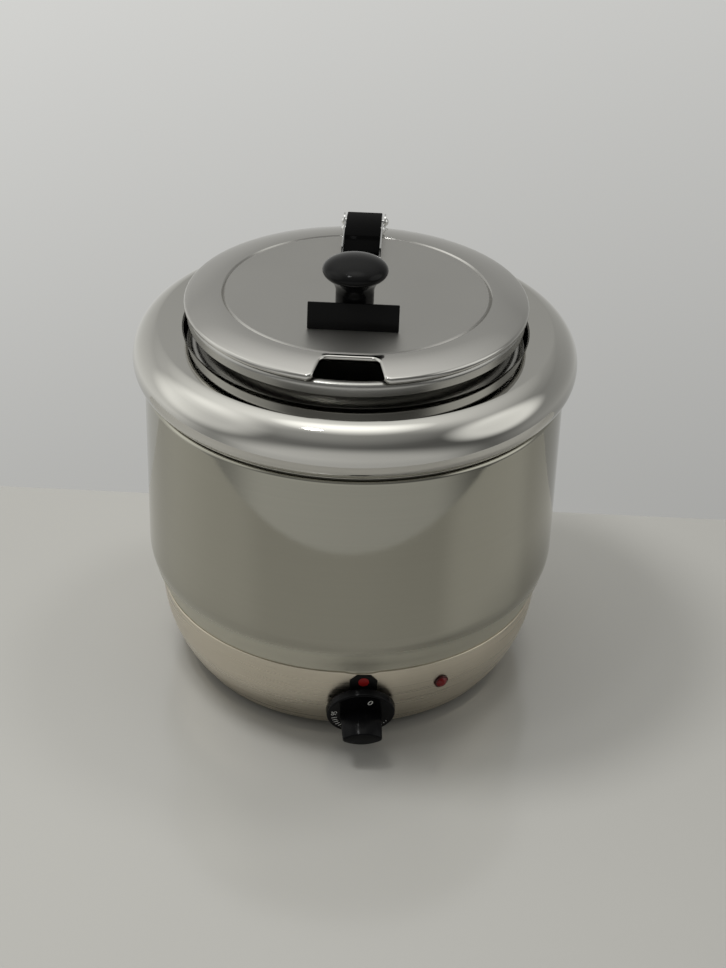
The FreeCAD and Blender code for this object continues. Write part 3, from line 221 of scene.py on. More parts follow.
class Grain(Enum):
    """Which way the polishing lines of a sheet run."""

    NONE = (60.0, 60.0, 60.0)
    LEVEL = (4.0, 4.0, 900.0)


@dataclass(frozen=True)
class Steel:
    """Stainless sheet, from mirror polish to a satin brush."""

    name: str
    colour: Colour
    roughness: float
    haze: float = 0.03
    grain: Grain = Grain.NONE
    lines: float = 0.0
    disc: float = 0.0
    disc_roughness: float = 0.0
    disc_tone: float = 1.0
    band: float = 0.0
    band_roughness: float = 0.0
    band_tone: float = 1.0
    band_soft: float = 0.004
    smudges: Colour = (14.0, 14.0, 14.0)
    smudge_tone: float = 0.94
    line_tone: float = 0.16
    line_gloss: float = 0.12
    line_depth: float = 0.00004

    def material(self) -> bpy.types.Material:
        """The finish as a material.

        It has smudges in its gloss, polishing lines where they are asked for, a duller disc round
        the upright axis where a radius in metres is given for one, and a duller band up to a height.

        Returns:
            The new material.
        """
        shader = Shader(self.name)
        tone = shader.noise(self.smudges)
        dull = shader.spread(tone, self.roughness, self.roughness + self.haze)
        if self.lines:
            tone = shader.noise(self.grain.value, 4.0)
            uneven = self.lines * self.line_gloss
            dull = shader.combined("ADD", dull, shader.spread(tone, -uneven, uneven))
            shader.bump(tone, self.lines, self.line_depth)
        darkest = self.smudge_tone - self.lines * self.line_tone
        colour = shader.blend(tone, shade(self.colour, darkest), self.colour)
        if self.disc:
            dull = shader.combined("ADD", dull, shader.within(self.disc, self.disc_roughness, 0.0))
            colour = shader.scaled(colour, shader.within(self.disc, self.disc_tone, 1.0))
        if self.band:
            brushed = shader.within(self.band, self.band_roughness, 0.0, UPRIGHT, self.band_soft)
            pale = shader.within(self.band, self.band_tone, 1.0, UPRIGHT, self.band_soft)
            dull = shader.combined("ADD", dull, brushed)
            colour = shader.scaled(colour, pale)
        shader.set(Metallic=1.0, Base_Color=colour, Roughness=dull)
        return shader.material


@dataclass(frozen=True)
class Plastic:
    """Moulded plastic or rubber, with a fine skin grain."""

    name: str
    colour: Colour
    roughness: float
    grain: float = 0.1
    grain_scale: float = 2200.0
    shine: float = 0.5
    grain_depth: float = 0.00005
    patches: Colour = (38.0, 38.0, 38.0)
    patch_tone: float = 0.25
    patch_gloss: float = 0.2

    def material(self) -> bpy.types.Material:
        """The finish as a material, with worn patches in its gloss and a fine grain.

        Returns:
            The new material.
        """
        shader = Shader(self.name)
        cloud = shader.noise(self.patches, 5.0)
        dark = shade(self.colour, 1.0 - self.patch_tone)
        pale = shade(self.colour, 1.0 + self.patch_tone)
        smooth = self.roughness * (1.0 - self.patch_gloss)
        rough = self.roughness * (1.0 + self.patch_gloss)
        shader.set(
            Base_Color=shader.blend(cloud, dark, pale),
            Roughness=shader.spread(cloud, smooth, rough),
            Specular_IOR_Level=self.shine,
        )
        shader.bump(shader.noise((self.grain_scale,) * 3, 2.0), self.grain, self.grain_depth)
        return shader.material


@dataclass(frozen=True)
class Lens:
    """Clear coloured plastic over a lamp."""

    name: str
    colour: Colour
    cloudy: Colour = (260.0, 260.0, 260.0)
    cloud_tone: float = 0.6
    gloss: tuple[float, float] = (0.05, 0.12)
    clear: float = 0.12
    coat: float = 0.1
    shine: float = 0.25

    def material(self) -> bpy.types.Material:
        """The finish as a material, with a slightly cloudy heart.

        Returns:
            The new material.
        """
        shader = Shader(self.name)
        cloud = shader.noise(self.cloudy)
        shader.set(
            Base_Color=shader.blend(cloud, shade(self.colour, self.cloud_tone), self.colour),
            Roughness=shader.spread(cloud, *self.gloss),
            Transmission_Weight=self.clear,
            Coat_Weight=self.coat,
            Specular_IOR_Level=self.shine,
        )
        return shader.material


Finish = Steel | Plastic | Lens

MIRROR = Steel("mirror_steel", (0.60, 0.59, 0.555), 0.03, 0.02)
LID_POLISH = Steel(
    "lid_steel", (0.54, 0.53, 0.505), 0.06, 0.03, disc=0.101, disc_roughness=0.33, disc_tone=0.81
)
SHELL_POLISH = Steel(
    "polished_steel", (0.40, 0.39, 0.335), 0.05, 0.03, Grain.LEVEL, 0.04, band=0.094, band_roughness=0.45,
    band_tone=1.45,
)
SATIN = Steel("satin_steel", (0.72, 0.66, 0.55), 0.30, 0.05, Grain.LEVEL, 0.8)
WELL_STEEL = Steel("well_steel", (0.26, 0.255, 0.24), 0.38, 0.08)
POT_POLISH = Steel("pot_steel", (0.42, 0.415, 0.395), 0.20, 0.06, Grain.LEVEL, 0.2)
BRIGHT = Steel("bright_steel", (0.72, 0.72, 0.71), 0.06, 0.04)
ZINC = Steel("zinc_steel", (0.50, 0.50, 0.48), 0.32, 0.1)
SHEATH = Steel("element_sheath", (0.24, 0.22, 0.20), 0.45, 0.15)
COPPER = Steel("copper_tube", (0.70, 0.36, 0.22), 0.3, 0.12)
BLACK_SHEET = Plastic("black_sheet", (0.020, 0.020, 0.020), 0.5, 0.25, 1400.0)
RUBBER = Plastic("foot_rubber", (0.018, 0.018, 0.018), 0.75, 0.4, 900.0)
SEAL_RUBBER = Plastic("seal_rubber", (0.03, 0.03, 0.03), 0.6, 0.2, 900.0)
BLACK_PLASTIC = Plastic("black_plastic", (0.005, 0.005, 0.005), 0.42, 0.15, shine=0.16)
GLOSS_BLACK = Plastic("gloss_black", (0.003, 0.003, 0.0035), 0.16, 0.05, 1500.0, shine=0.08)
BLOCK_BLACK = Plastic("block_black", (0.002, 0.002, 0.002), 0.12, 0.03, 1500.0, shine=0.004)
KNOB_BLACK = Plastic("knob_black", (0.005, 0.005, 0.005), 0.13, 0.05, 1200.0, shine=0.12)
TAG_BLACK = Plastic("tag_black", (0.004, 0.004, 0.004), 0.24, 0.06, 1500.0, shine=0.09)
WHITE_PLASTIC = Plastic("white_plastic", (0.72, 0.70, 0.66), 0.45, 0.15)
WHITE_PRINT = Plastic("white_print", (0.62, 0.62, 0.60), 0.5, 0.1)
RED_PRINT = Plastic("red_print", (0.26, 0.008, 0.008), 0.35, 0.1, shine=0.3)
RED_LENS = Lens("red_lens", (0.21, 0.003, 0.005))
RED_DARK = Lens("red_dark", (0.07, 0.002, 0.003))


# Mesh tools


def arc_points(start: Vector, end: Vector, bow: float) -> list[Vector]:
    """Points inside an arc.

    Args:
        start: Where the arc leaves.
        end: Where it arrives.
        bow: Its rise per chord, to the right of the way where it is positive.

    Returns:
        The points between the two ends.
    """
    if not bow:
        return []
    chord = end - start
    half = 2.0 * math.atan(2.0 * abs(bow))
    radius = chord.length / (2.0 * math.sin(half))
    side = Vector((chord.y, -chord.x)).normalized() * math.copysign(radius, bow)
    steps = max(3, math.ceil(2.0 * half / ARC_STEP))
    points = []
    for step in range(1, steps):
        angle = half * (2.0 * step / steps - 1.0)
        along = 0.5 + math.sin(angle) / (2.0 * math.sin(half))
        points.append(start + chord * along + side * (math.cos(angle) - math.cos(half)))
    return points


def outline(corners: Sequence[Corner], closed: bool = True, hold: float = 0.0) -> list[Vector]:
    """Points along an outline.

    Args:
        corners: Each (across, up), or (across, up, bow) where the edge that leaves it is an arc.
        closed: Whether the last corner runs back to the first.
        hold: How near its ends a straight run gets a point, to keep it flat when it is shaded.

    Returns:
        The corners with the points of the arcs between them.
    """
    points = []
    last = len(corners) if closed else len(corners) - 1
    for index in range(last):
        start = Vector(corners[index][:2])
        end = Vector(corners[(index + 1) % len(corners)][:2])
        bow = corners[index][2] if len(corners[index]) > 2 else 0.0
        points.append(start)
        points.extend(arc_points(start, end, bow))
        run = (end - start).length
        if hold and not bow and run > 3 * hold:
            points.extend(start.lerp(end, share) for share in (hold / run, 1.0 - hold / run))
    if not closed:
        points.append(Vector(corners[-1][:2]))
    return points


def crown(radius: float, rise: float) -> float:
    """Bow of the arc that crowns a dome squarely on its axis."""
    return (math.hypot(radius, rise) - radius) / (2.0 * rise)


def moved(mesh: bmesh.types.BMesh, place: Matrix) -> bmesh.types.BMesh:
    """A shape moved and turned to a place."""
    bmesh.ops.transform(mesh, matrix=place, space=Matrix(), verts=mesh.verts)
    return mesh


def finished(
    name: str, mesh: bmesh.types.BMesh, place: Matrix | None = None, sharp: float = SHARP
) -> bpy.types.Object:
    """Turn a shaped mesh into a smooth object at the origin.

    Args:
        name: The piece's name.
        mesh: The shape in millimetres, used up here.
        place: Where the shape goes, in millimetres.
        sharp: Edges sharper than this angle stay crisp.

    Returns:
        The new object, in metres.
    """
    moved(mesh, Matrix.Scale(MM, 4) @ (place or Matrix()))
    data = bpy.data.meshes.new(name)
    mesh.to_mesh(data)
    mesh.free()
    data.polygons.foreach_set("use_smooth", [True] * len(data.polygons))
    data.set_sharp_from_angle(angle=sharp)
    piece = bpy.data.objects.new(name, data)
    bpy.context.scene.collection.objects.link(piece)
    return piece


def spun(corners: Sequence[Corner], turns: int = ROUND) -> bmesh.types.BMesh:
    """Turn a half outline about the upright axis.

    Args:
        corners: The outline as (distance from the axis, height, bow).
        turns: How many steps make a full turn.

    Returns:
        The turned shape. An outline that starts and ends on the axis is left open there.
    """
    mesh = bmesh.new()
    on_axis = not corners[0][0] and not corners[-1][0]
    points = outline(corners, not on_axis, HOLD)
    verts = [mesh.verts.new((point.x, 0.0, point.y)) for point in points]
    pairs = list(zip(verts, verts[1:]))
    if not on_axis:
        pairs.append((verts[-1], verts[0]))
    edges = [mesh.edges.new(pair) for pair in pairs]
    bmesh.ops.spin(
        mesh, geom=verts + edges, cent=(0, 0, 0), axis=(0, 0, 1), angle=2.0 * math.pi,
        steps=turns, use_merge=True,
    )
    bmesh.ops.remove_doubles(mesh, verts=mesh.verts, dist=MERGE)
    bmesh.ops.recalc_face_normals(mesh, faces=mesh.faces)
    return mesh


def slab(
    corners: Sequence[Corner], depth: float, soft: float = 0.0, taper: float = 1.0
) -> bmesh.types.BMesh:
    """A plate of even depth over an outline, from z = 0 up.

    Args:
        corners: The outline as (across, up, bow).
        depth: The plate's depth.
        soft: Radius of the rounding of its rims.
        taper: Size of the top against the bottom.

    Returns:
        The plate.
    """
    mesh = bmesh.new()
    face = mesh.faces.new([mesh.verts.new((point.x, point.y, 0.0)) for point in outline(corners)])
    grown = bmesh.ops.extrude_face_region(mesh, geom=[face])
    top = [item for item in grown["geom"] if isinstance(item, bmesh.types.BMVert)]
    bmesh.ops.translate(mesh, vec=(0.0, 0.0, depth), verts=top)
    bmesh.ops.scale(mesh, vec=(taper, taper, 1.0), verts=top)
    bmesh.ops.recalc_face_normals(mesh, faces=mesh.faces)
    if soft:
        soften(mesh, soft)
    return mesh


def soften(mesh: bmesh.types.BMesh, radius: float) -> None:
    """Round the hard edges of a mesh to a radius."""
    hard = [edge for edge in mesh.edges if edge.is_manifold and edge.calc_face_angle() > HARD]
    bmesh.ops.bevel(
        mesh, geom=hard, offset=radius, offset_type="OFFSET", segments=SOFT_STEPS, profile=0.5,
        affect="EDGES", material=-1, clamp_overlap=True,
    )


def joined(first: bmesh.types.BMesh, second: bmesh.types.BMesh) -> bmesh.types.BMesh:
    """Two shapes as one mesh.

    Args:
        first: The shape that takes the other in.
        second: The other shape, used up here.

    Returns:
        The first shape.
    """
    data = bpy.data.meshes.new("joined")
    second.to_mesh(data)
    second.free()
    first.from_mesh(data)
    bpy.data.meshes.remove(data)
    return first


def fit(piece: bpy.types.Object, finish: Finish, node: str) -> None:
    """Dress a piece and seat it on the body of the node that it stands for.

    Args:
        piece: The finished piece.
        finish: What it is made of.
        node: The frame's node that it replaces, which gives its body.
    """
    piece.data.materials.append(material_of(finish))
    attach(piece, NODE_BODY[node])
    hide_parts(node)
    LOG.info("%s rides on %s", piece.name, NODE_BODY[node])


MATERIALS: dict[str, bpy.types.Material] = {}


def material_of(finish: Finish) -> bpy.types.Material:
    """The one material of a finish, made at its first use.

    Args:
        finish: The finish.

    Returns:
        Its material.
    """
    if finish.name not in MATERIALS:
        MATERIALS[finish.name] = finish.material()
    return MATERIALS[finish.name]


def dress(finish: Finish, *nodes: str) -> None:
    """Give frame nodes that keep their own shape a finish.

    Args:
        finish: What they are made of.
        nodes: Their names.
    """
    for node in nodes:
        piece = frame["nodes"][node]
        if not piece.material_slots:
            piece.data.materials.append(None)
        for slot in piece.material_slots:
            slot.material = material_of(finish)
        LOG.info("%s is dressed in %s", node, finish.name)


def box_mm(node: str) -> tuple[Vector, Vector]:
    """The lowest and highest corner of a frame node, in millimetres."""
    low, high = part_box(node)
    return low / MM, high / MM


def lying_across(back: float, level: float) -> Matrix:
    """The place of a pin across the kettle, with its own Z along X."""
    return Matrix.Translation((0.0, back, level)) @ Matrix.Rotation(math.pi / 2, 4, "Y")


def rounded(corners: Sequence[Corner]) -> list[Corner]:
    """An outline of straight runs with its corners rounded.

    Args:
        corners: Each (across, up), or (across, up, radius) where the corner is rounded.

    Returns:
        The outline as (across, up, bow).
    """
    path = []
    for index, corner in enumerate(corners):
        here = Vector(corner[:2])
        radius = corner[2] if len(corner) > 2 else 0.0
        if not radius:
            path.append((here.x, here.y))
            continue
        back = (Vector(corners[index - 1][:2]) - here).normalized()
        ahead = (Vector(corners[(index + 1) % len(corners)][:2]) - here).normalized()
        turn = math.pi - back.angle(ahead)
        reach = radius * math.tan(turn / 2.0)
        left_turn = back.x * ahead.y - back.y * ahead.x < 0.0
        bow = math.tan(turn / 4.0) / 2.0
        path.append((*(here + back * reach), bow if left_turn else -bow))
        path.append(tuple(here + ahead * reach))
    return path


def joint_row(name: str) -> dict:
    """The record's row of a joint."""
    return next(row for row in frame["record"]["behaviour"]["joints"] if row["name"] == name)


def face_frame(point: Vector, normal: Vector) -> Matrix:
    """A frame on an upright face: X to the right seen from outside, Y up and Z outwards.

    Args:
        point: The frame's origin.
        normal: The way out of the face.

    Returns:
        The frame.
    """
    out = normal.normalized()
    across = Vector(UPRIGHT).cross(out).normalized()
    turn = Matrix((across, out.cross(across), out)).transposed().to_4x4()
    return Matrix.Translation(point) @ turn


# The kettle's parts


@dataclass
class Housing:
    """What stands on the table: the base ring, shell, water well, seal and feet."""

    wall: float = 1.0
    edge: float = 0.8
    bottom_radius: float = 129.0
    seam_radius: float = 151.5
    base_bow: float = 0.083
    base_lip: float = 13.0
    slit_azimuth: float = 6.5
    slit_half: float = 5.2
    slit_depth: float = 1.7
    seam_gap: float = 0.7
    tongue_gap: float = 0.3
    shell_radius: float = 161.3
    bowl_height: float = 31.0
    bowl_bow: float = 0.03
    bowl_soft: float = 4.0
    bowl_crease: float = 10.4
    shoulder: float = 3.0
    shell_flange: float = 12.0
    well_radius: float = 125.0
    well_corner: float = 10.0
    well_flange: float = 157.5
    ledge_edge: float = 129.3
    seal_width: float = 6.0
    foot_circle: float = 103.0
    foot_recess: float = 3.0
    foot_radius: float = 10.0
    foot_soft: float = 1.2
    foot_hole: float = 5.5
    foot_tread: float = 9.0

    def build(self) -> None:
        """Build every piece of the housing."""
        self.build_base_ring()
        self.build_shell()
        self.build_well()
        self.build_seal()
        self.build_feet()

    def build_base_ring(self) -> None:
        """The brushed band, whose upper edge dips into a thin vent slit over the dial."""
        low, high = box_mm("base_ring")
        soft = self.edge
        lip = self.bottom_radius - self.base_lip
        ring = spun([
            (lip, low.z),
            (self.bottom_radius - soft, low.z, QUARTER),
            (self.bottom_radius + soft / 3, low.z + soft, self.base_bow),
            (self.seam_radius, high.z - soft, QUARTER),
            (self.seam_radius - soft, high.z),
            (self.seam_radius - self.wall * 1.5, high.z, -self.base_bow),
            (self.bottom_radius - self.wall, low.z + self.wall),
            (lip, low.z + self.wall),
        ], ROUND * 2)
        for vert in ring.verts:
            swing = math.degrees(math.atan2(vert.co.x, -vert.co.y)) - self.slit_azimuth
            if vert.co.z > high.z - 2 * soft and abs(swing) < self.slit_half:
                vert.co.z -= self.slit_depth * (1.0 - (swing / self.slit_half) ** 2)
        fit(finished("base_band", ring), SATIN, "base_ring")

    def build_shell(self) -> None:
        """The polished upper shell, with its bowl, shoulder and flange."""
        low, high = box_mm("body_shell")
        foot = box_mm("base_ring")[1].z + self.seam_gap
        tongue = self.seam_radius - self.wall - self.tongue_gap
        inside = self.shell_radius - self.wall
        bowl = foot + self.bowl_height
        crease = math.radians(self.bowl_crease)
        turn = math.tan(crease / 4.0) / 2.0
        draw = self.bowl_soft * math.tan(crease)
        shell = spun([
            (tongue - self.wall, low.z),
            (tongue, low.z),
            (tongue, foot),
            (self.seam_radius - self.edge * 1.5, foot, QUARTER),
            (self.seam_radius - self.edge * 0.5, foot + self.edge, self.bowl_bow),
            (self.shell_radius - draw, bowl - self.bowl_soft, turn),
            (self.shell_radius, bowl + self.bowl_soft),
            (self.shell_radius, high.z - self.shoulder, QUARTER),
            (self.shell_radius - self.shoulder, high.z),
            (self.shell_radius - self.shell_flange, high.z),
            (self.shell_radius - self.shell_flange, high.z - self.wall),
            (self.shell_radius - self.shoulder, high.z - self.wall, -QUARTER),
            (inside, high.z - self.shoulder),
            (inside, bowl + self.bowl_soft, -turn),
            (inside - draw, bowl - self.bowl_soft, -self.bowl_bow),
            (self.seam_radius - self.wall - self.edge * 0.5, foot + self.wall),
            (tongue - self.wall, foot + self.wall),
        ])
        fit(finished("shell_skin", shell), SHELL_POLISH, "body_shell")

    def build_well(self) -> None:
        """The water well with the ledge that the pot sits on."""
        low, high = box_mm("water_well")
        shell_top = box_mm("body_shell")[1].z
        floor = low.z + self.wall
        outside = self.well_radius + self.wall
        well = spun([
            (0, low.z),
            (self.well_radius - self.well_corner, low.z, QUARTER),
            (outside, floor + self.well_corner),
            (outside, high.z - self.wall),
            (self.ledge_edge - self.wall, high.z - self.wall),
            (self.ledge_edge - self.wall, shell_top),
            (self.well_flange, shell_top),
            (self.well_flange, shell_top + self.wall),
            (self.ledge_edge, shell_top + self.wall),
            (self.ledge_edge, high.z - self.edge, QUARTER),
            (self.ledge_edge - self.edge, high.z),
            (self.well_radius + self.edge, high.z, QUARTER),
            (self.well_radius, high.z - self.edge),
            (self.well_radius, floor + self.well_corner, -QUARTER),
            (self.well_radius - self.well_corner, floor),
            (0, floor),
        ])
        fit(finished("well_pan", well), WELL_STEEL, "water_well")

    def build_seal(self) -> None:
        """The ring seal under the collar, with rounded edges."""
        low, high = box_mm("collar_seal")
        soft = self.edge / 2
        outer = high.x
        inner = outer - self.seal_width
        section = rounded([
            (inner, low.z, soft), (outer, low.z, soft), (outer, high.z, soft), (inner, high.z, soft),
        ])
        fit(finished("seal_ring", spun(section)), SEAL_RUBBER, "collar_seal")

    def build_feet(self) -> None:
        """Four rubber feet with softened treads and screw recesses."""
        low, high = box_mm("feet")
        feet = bmesh.new()
        for quarter in range(4):
            foot = spun([
                (0, low.z + self.foot_recess),
                (self.foot_hole, low.z + self.foot_recess),
                (self.foot_hole, low.z + self.foot_soft / 2),
                (self.foot_hole + self.foot_soft / 2, low.z),
                (self.foot_tread - self.foot_soft, low.z, QUARTER),
                (self.foot_tread, low.z + self.foot_soft),
                (self.foot_radius, high.z - self.foot_soft, QUARTER),
                (self.foot_radius - self.foot_soft, high.z),
                (0, high.z),
            ], SMALL_ROUND)
            turn = Matrix.Rotation(math.pi / 4 + quarter * math.pi / 2, 4, "Z")
            joined(feet, moved(foot, turn @ Matrix.Translation((self.foot_circle, 0, 0))))
        fit(finished("rubber_feet", feet), RUBBER, "feet")

    def face(self, level: float, azimuth: float) -> Matrix:
        """A frame on the outside of the base ring.

        Args:
            level: Its height above the table.
            azimuth: Degrees to the right of the front.

        Returns:
            The frame, in millimetres.
        """
        low, high = box_mm("base_ring")
        start = Vector((self.bottom_radius, low.z))
        end = Vector((self.seam_radius, high.z))
        half = 2.0 * math.atan(2.0 * self.base_bow)
        radius = (end - start).length / (2.0 * math.sin(half))
        right = Vector((end.y - start.y, start.x - end.x)).normalized()
        centre = (start + end) / 2.0 - right * radius * math.cos(half)
        rise = level - centre.y
        reach = math.sqrt(radius * radius - rise * rise)
        turn = math.radians(azimuth)
        way = Vector((math.sin(turn), -math.cos(turn), 0.0))
        normal = way * reach + Vector((0.0, 0.0, rise))
        point = way * (centre.x + reach) + Vector((0.0, 0.0, level))
        return face_frame(point, normal)


@dataclass
class Pot:
    """The lift-out pot."""

    wall: float = 1.0
    radius: float = 120.0
    corner: float = 14.0
    bead: float = 7.5
    bead_height: float = 4.5
    bead_soft: float = 0.9
    overhang: float = 8.0
    rim_round: float = 3.0
    rim_band: float = 9.5
    seat_gap: float = 0.3

    def build(self) -> None:
        """Build the pot with its seat bead and rolled rim."""
        low, high = box_mm("inner_pot")
        ledge = box_mm("water_well")[1].z + self.seat_gap
        inside = self.radius - self.wall
        edge = self.radius + self.overhang
        skin = edge - self.wall
        turn = high.z - self.wall - self.rim_round
        bead = self.radius + self.bead
        soft = self.bead_soft
        pot = spun([
            (0, low.z),
            (self.radius - self.corner, low.z, QUARTER),
            (self.radius, low.z + self.corner),
            (self.radius, ledge),
            (bead - soft, ledge, QUARTER),
            (bead, ledge + soft),
            (bead, ledge + self.bead_height / 2, QUARTER / 2),
            (self.radius, ledge + self.bead_height),
            (self.radius, turn, -QUARTER),
            (self.radius + self.rim_round, high.z - self.wall),
            (skin - self.rim_round, high.z - self.wall, -QUARTER),
            (skin, turn),
            (skin, high.z - self.rim_band, HEM_BOW),
            (edge, high.z - self.rim_band),
            (edge, turn, QUARTER),
            (skin - self.rim_round, high.z),
            (self.radius + self.rim_round, high.z, QUARTER),
            (inside, turn),
            (inside, low.z + self.corner, -QUARTER),
            (self.radius - self.corner, low.z + self.wall),
            (0, low.z + self.wall),
        ])
        fit(finished("pot_vessel", pot), POT_POLISH, "inner_pot")


@dataclass
class Collar:
    """The rolled collar, its hinge bracket and the hinge pin."""

    wall: float = 1.0
    foot_radius: float = 162.4
    flange: float = 11.0
    foot_soft: float = 1.0
    belly_radius: float = 169.7
    belly_rise: float = 12.5
    low_bow: float = 0.09
    high_bow: float = 0.2
    crown_radius: float = 151.0
    opening: float = 131.0
    throat: float = 12.0
    edge_round: float = 1.5

    def build(self) -> None:
        """Build the collar and its pin, and dress the bracket and rivets."""
        self.build_ring()
        build_pin("collar_pin", "hinge_pin")
        dress(BRIGHT, "collar_bracket", "collar_rivets")

    def build_ring(self) -> None:
        """The mirror polished ring, from its flange over the belly and down the throat."""
        low, high = box_mm("collar_ring")
        belly = low.z + self.belly_rise
        throat = high.z - self.throat
        skin = self.opening + self.wall
        soft = self.foot_soft
        ring = spun([
            (self.foot_radius - self.flange, low.z),
            (self.foot_radius - soft, low.z, QUARTER),
            (self.foot_radius + soft / 2, low.z + soft, self.low_bow),
            (self.belly_radius, belly, self.high_bow),
            (self.crown_radius, high.z),
            (self.opening + self.edge_round, high.z, QUARTER),
            (self.opening, high.z - self.edge_round),
            (self.opening, throat, HEM_BOW),
            (skin, throat),
            (skin, high.z - self.edge_round, -QUARTER),
            (self.opening + self.edge_round, high.z - self.wall),
            (self.crown_radius, high.z - self.wall, -self.high_bow),
            (self.belly_radius - self.wall, belly, -self.low_bow),
            (self.foot_radius - self.wall, low.z + self.wall),
            (self.foot_radius - self.flange, low.z + self.wall),
        ])
        fit(finished("collar_skin", ring), MIRROR, "collar_ring")


def build_pin(
    name: str, node: str, head_radius: float = 3.4, head_rise: float = 2.2, shank: float = 2.04
) -> None:
    """A bright pin across the hinge, with a domed head at each end.

    Args:
        name: The new piece's name.
        node: The frame's pin that it stands for.
        head_radius: Radius of a head.
        head_rise: How far a head stands out.
        shank: Radius of the pin between its heads.
    """
    low, high = box_mm(node)
    half = high.x - head_rise
    bow = crown(head_radius, head_rise)
    pin = spun([
        (0, -half - head_rise, bow),
        (head_radius, -half),
        (shank, -half),
        (shank, half),
        (head_radius, half, bow),
        (0, half + head_rise),
    ], SMALL_ROUND)
    middle = (low + high) / 2.0
    fit(finished(name, pin, lying_across(middle.y, middle.z)), BRIGHT, node)


